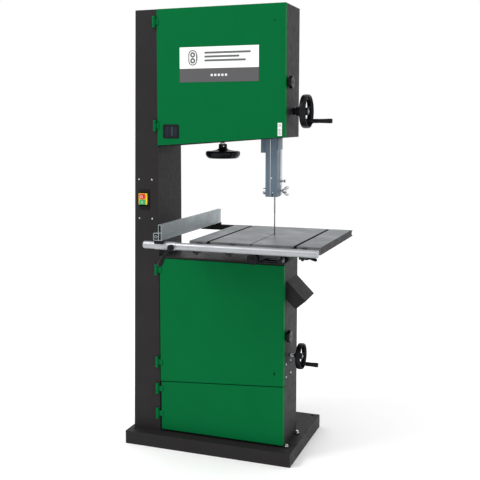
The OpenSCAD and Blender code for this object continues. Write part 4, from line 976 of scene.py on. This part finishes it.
def fence_lever():
    """Bent clamping lever: hub on its pin, arm that swells into a rounded grip."""
    pivot = JOINT_POS["fence_lever_turn"]
    low, high = box("fence_lever")
    part = Part()
    deep = high.y - low.y
    hub = [(8, 0), (11, 1), (12, 3), (12, deep - 2), (11, deep - 1.2)]
    part.lathe((pivot.x, low.y + 1, pivot.z), Y, hub, 36)
    reach = vec(low.x - pivot.x, 0, low.z - pivot.z)
    long, out = reach.length, reach.normalized()
    across = vec(out.z, 0, -out.x)
    y = (low.y + high.y) / 2
    # Share of the lever's length, radius and offset in mm
    shape = [(0.06, 8, 0), (0.22, 6.6, 1.5), (0.4, 6.8, 2.5), (0.52, 8.2, 2),
             (0.64, 10.2, 0.5), (0.78, 11, -0.5), (0.88, 9.6, -0.5), (0.92, 6, -0.5)]
    path = [vec(pivot.x, y, pivot.z) + out * (long * s) + across * bend for s, _, bend in shape]
    part.tube(path, [r for _, r, _ in shape], 24, oval=(0.72, 1), up=Y)
    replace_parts(part.done("fence_clamp_lever", "fence_lever", "black_plastic", smooth=60), "fence_lever")


def insert_disc():
    """Round insert whose blade slot widens downwards for tilting, in a dark joint ring."""
    low, high = box("table_insert")
    (cx, cy, _), r, slot_end = middle("table_insert"), (high.x - low.x) / 2, 16
    part = Part()
    rows = []
    for z, half, radius in ((low.z, 8.5, r), (high.z - 0.5, 3, r), (high.z, 2.5, r - 0.5)):
        gap = asin(half / radius)
        angles = [-pi / 2 + gap + (2 * pi - 2 * gap) * k / 72 for k in range(73)]
        rows.append([vec(cx + radius * cos(a), cy + radius * sin(a), z) for a in angles]
                    + [vec(cx + side * half, cy + slot_end, z) for side in (-1, 1)])
    part.rings(rows)
    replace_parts(part.done("insert_disc", "table", "insert"), "table_insert")
    part = Part()
    part.pipe((cx, cy, high.z - 0.5), Z, r - 0.2, r + 1.4, 0.62, 72)
    part.done("insert_ring", "table", "black_steel")


def switch_bezel():
    """Yellow bezel with soft corners and two key windows."""
    low, high = box("switch_frame")
    loops = [rounded(low.x, low.z + 2, high.x - 5, high.z - 1, 2.5)]
    for node in ("start_button", "stop_button"):
        gap = vec(0.5, 0.5, 0.5)
        a, b = box(node)[0] - gap, box(node)[1] + gap
        loops.append([(a.x, a.z), (b.x, a.z), (b.x, b.z), (a.x, b.z)])
    part = Part()
    part.plate(loops, (0, high.y, 0), X, Z, high.y - low.y)
    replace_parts(part.done("switch_bezel", "frame", "yellow_plastic"), "switch_frame")


def rack_cover():
    """Fixed strip that hides the post's rack where the guard enters the head."""
    low = vec(GUARD[1].x + 0.6, GUARD[0].y + 1, HEAD[0].z - 9)
    part = Part()
    part.box(low, (GUARD[1].x + 2.2, GUARD[0].y + 70, HEAD[0].z + 46), 0.4)
    part.done("rack_cover", "frame", "guard_steel")


def motor_details():
    """Slotted fan cover, terminal box lid with screws, lifting eye, rating plate and cable entry."""
    centre = JOINT_POS["motor_spin"]
    low, high = MOTOR
    r = MOTOR_R
    part = Part()
    holes = []
    for ring, count in ((0.34, 6), (0.56, 10), (0.78, 14)):
        inner, outer, width = (ring - 0.075) * r, (ring + 0.075) * r, 0.62 * 2 * pi / count
        for a in turns(count):
            arc = [a - width / 2 + width * k / 6 for k in range(7)]
            holes.append([(inner * cos(q), inner * sin(q)) for q in arc]
                         + [(outer * cos(q), outer * sin(q)) for q in reversed(arc)])
    # Z x X points to the back
    part.plate([circle(0, 0, r * 0.97, 72), *holes], (centre.x, high.y + 0.4, centre.z), Z, X, 1.6)
    rim = [(r + 0.2, 0), (r + 1, 0), (r + 1, 27), (r * 0.99, 31.5), (r * 0.9, 32),
           (r * 0.9, 30.4), (r + 0.2, 26)]
    part.lathe((centre.x, high.y - 30, centre.z), Y, rim, 72, ring=True)
    part.done("fan_cover", "motor", "motor_paint")
    # The terminal box stands on the motor's left side
    x, y0, y1 = low.x, high.y - 170, high.y - 80
    z0, z1 = centre.z - 30, centre.z + 40
    part = Part()
    part.box((x - 2.5, y0 - 1, z0 - 1), (x + 3, y1 + 1, z1 + 1), 1.4)
    entry = vec(x + 20, y0 + 22, z0)
    part.tube([entry, entry + DOWN * 14], 8, 6)
    part.lathe(entry + DOWN * 8, DOWN, [(7, 0), (7, 12), (5, 14)], 24)
    part.done("terminal_lid", "motor", "black_plastic")
    part = Part()
    for y in (y0 + 8, y1 - 8):
        for z in (z0 + 8, z1 - 8):
            part.lathe((x - 2.3, y, z), LEFT, [(3.4, 0), (3.4, 0.8), (2.2, 1.6)], 20)
    eye = vec(centre.x, high.y - 100, high.z)
    part.lathe(eye + DOWN * 3, Z, [(9, 0), (9, 5), (6, 8)], 24)
    part.tube([eye + Z * 13 + outward(a) * 11 for a in turns(32)], 3, 12, closed=True, up=Y)
    part.done("motor_hardware", "motor", "zinc")
    part = Part()
    x = centre.x + r
    part.box((x - 6.5, high.y - 158, centre.z - 18), (x + 0.6, high.y - 92, centre.z + 18), 0.5)
    part.done("rating_plate", "motor", "aluminium")


def shaft_bolts():
    """Four hexagon bolts round the lower shaft's flange."""
    flange = vec(0, box("shaft_housing")[1].y - 36, JOINT_POS["lower_wheel_spin"].z)
    part = Part()
    for k in range(4):
        part.hexagon(flange + outward(radians(45 + 90 * k)) * 56, Y, 13, 7, 11)
    part.done("shaft_bolts", "frame", "zinc")


def socket_screw(part, at, axis, r, h):
    """Domed head with a socket."""
    part.lathe(at, axis, [(r, 0), (r, h * 0.35), (r * 0.86, h * 0.8), (r * 0.62, h), (r * 0.56, h),
                          (r * 0.56, h * 0.4)], 30)


def frame_screws():
    """Foot bolts, socket screws on the side, switch screws and the motor plate's shoulder bolts."""
    foot_z = box("base_plinth")[1].z + 4
    switch_x = box("switch_plate")[0].x
    side_z, switch_z, plate_z = (355, 410), (1008, 1178), (106, 250)
    part = Part()
    for y in (FRONT + 14, FRONT + 176):
        part.hexagon((WALL + 11, y, foot_z), Z, 13, 8, 9)
    for y in (FRONT + 37, FRONT + 106):
        for z in side_z:
            socket_screw(part, (WALL, y, z), X, 4.4, 2.8)
    for x in (switch_x - 1, switch_x + 61):
        for z in switch_z:
            socket_screw(part, (x, FRONT, z), FORWARD, 3.8, 2.5)
    for x in (-92, 92):
        for z in plate_z:
            part.lathe((x, BODY[1].y, z), Y, [(4.5, 0), (4.5, 9)], 24)
            part.hexagon((x, BODY[1].y + 8.5, z), Y, 10, 4.4, 9)
    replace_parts(part.done("frame_bolts", "frame", "zinc"), "frame_screws")


def sight_frame():
    """Moulded frame with rounded corners round the dark ribbed glazing."""
    low, high = WINDOW

    def inset(margin, r):
        return rounded(low.x + margin, low.z + margin, high.x - margin, high.z - margin, r)

    part = Part()
    for m, depth, base in ((0, 2.2, 0), (1.2, 0.8, 2.2)):
        loops = [inset(m, 6 - m), inset(8 - m, 3)]
        part.plate(loops, (0, DOOR_Y - base, 0), X, Z, depth)
    edge = 4.6
    part.box((low.x + edge, DOOR_Y + 0.1, low.z + edge), (high.x - edge, DOOR_Y + 2.9, high.z - edge))
    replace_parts(part.done("sight_frame", "upper_door", "black_plastic"), "sight_window")


def rocker_keys():
    """Flat start key, and a low stop key that carries a raised dished button."""
    for node, body, slot, sunk in (("start_button", "start_key", "green_plastic", 0),
                                   ("stop_button", "stop_key", "red_plastic", 6)):
        low, high = box(node)
        cx, _, cz = middle(node)
        face = low.y + sunk
        part = Part()
        part.box((low.x, face, low.z), high, 1.6, steps=3)
        if sunk:
            dish = [(10, 0), (10, 4.5), (9.2, 5.8), (7, 6.4), (5.5, 6.2)]
            part.lathe((cx, face + 0.5, cz), FORWARD, dish, 40)
        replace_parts(part.done(node + "_cap", body, slot), node)


nameplate_marks()
door_label()
key_marks()
guide_handwheel()
belt_handwheel()
crank_grip("guide_grip", "guide_handwheel", "post_grip")
crank_grip("belt_grip", "belt_handwheel", "belt_grip")
tension_handwheel()
tension_spring()
saw_blade()
drive_belt()
wheel_brush()
guide_screws()
guard_details()
window_insert()
table_bolts()
table_lever()
rail_details()
fence_extrusion()
fence_lever()
insert_disc()
switch_bezel()
rack_cover()
motor_details()
shaft_bolts()
frame_screws()
sight_frame()
rocker_keys()
for latch in ("upper_latch", "lower_latch"):
    at = JOINT_POS[latch + "_turn"]
    star_cap(latch + "_cap", latch, (box(latch)[1].x, at.y, at.z), X, 8)
star_cap("tracking_cap", "tracking_knob", (0, box("tracking_knob")[1].y, JOINT_POS["tracking_turn"].z), Y, 7)
TILT_KNOB_Y, TILT_LEVER_Y = box("tilt_knob")[0].y, box("tilt_lever")[0].y
at = JOINT_POS["tilt_knob_turn"]
star_cap("tilt_knob_cap", "tilt_knob", (at.x, TILT_KNOB_Y, at.z), FORWARD, 8)


# Second finishes on CAD nodes ------

CLAMP_R = 17.4
GUIDE_SCREW_X, GUIDE_SCREW_Y, GUIDE_SCREW_Z = 261, -83, 862.5

for node, slot, chosen in (
        ("upper_latch", "zinc", lambda c, n: c.x < WALL),
        ("lower_latch", "zinc", lambda c, n: c.x < WALL),
        ("table", "dark_paint", lambda c, n: n.z <= 0.9 or c.z <= TABLE[1].z - 0.5),
        ("table", "cast_iron", lambda c, n: n.y < -0.9 and c.y < TABLE[0].y + 1),
        ("tracking_knob", "zinc", lambda c, n: c.y < BODY[1].y + 9.9),
        ("tilt_knob", "zinc", lambda c, n: c.y > TILT_KNOB_Y + 24.1),
        ("tilt_lever", "zinc", lambda c, n: c.y > TILT_LEVER_Y + 16.1),
        ("lower_guide", "black_plastic",
         lambda c, n: c.y > GUIDE_SCREW_Y and abs(c.x - GUIDE_SCREW_X) > 20.2 and c.z > GUIDE_SCREW_Z),
        ("post_bracket", "guard_steel", lambda c, n: c.z < HEAD[0].z + 40),
        ("front_rail", "dark_paint", lambda c, n: c.z < RAIL[0].z + 9.6 or c.y > RAIL[0].y + 30.1),
        ("fence_clamp", "black_plastic", lambda c, n: hypot(c.y - RAIL_Y, c.z - RAIL_Z) > CLAMP_R),
        ("fence_clamp", "rail_tube", lambda c, n: hypot(c.y - RAIL_Y, c.z - RAIL_Z) <= CLAMP_R),
        ("motor", "black_plastic", lambda c, n: c.x < -MOTOR_R or c.y > MOTOR[1].y - 30),
        ("hinge_barrels", "zinc", lambda c, n: abs(n.z) < 0.2 and hypot(c.x - HINGE.x, c.y - HINGE.y) < 4.2)):
    second_finish(node, slot, chosen)
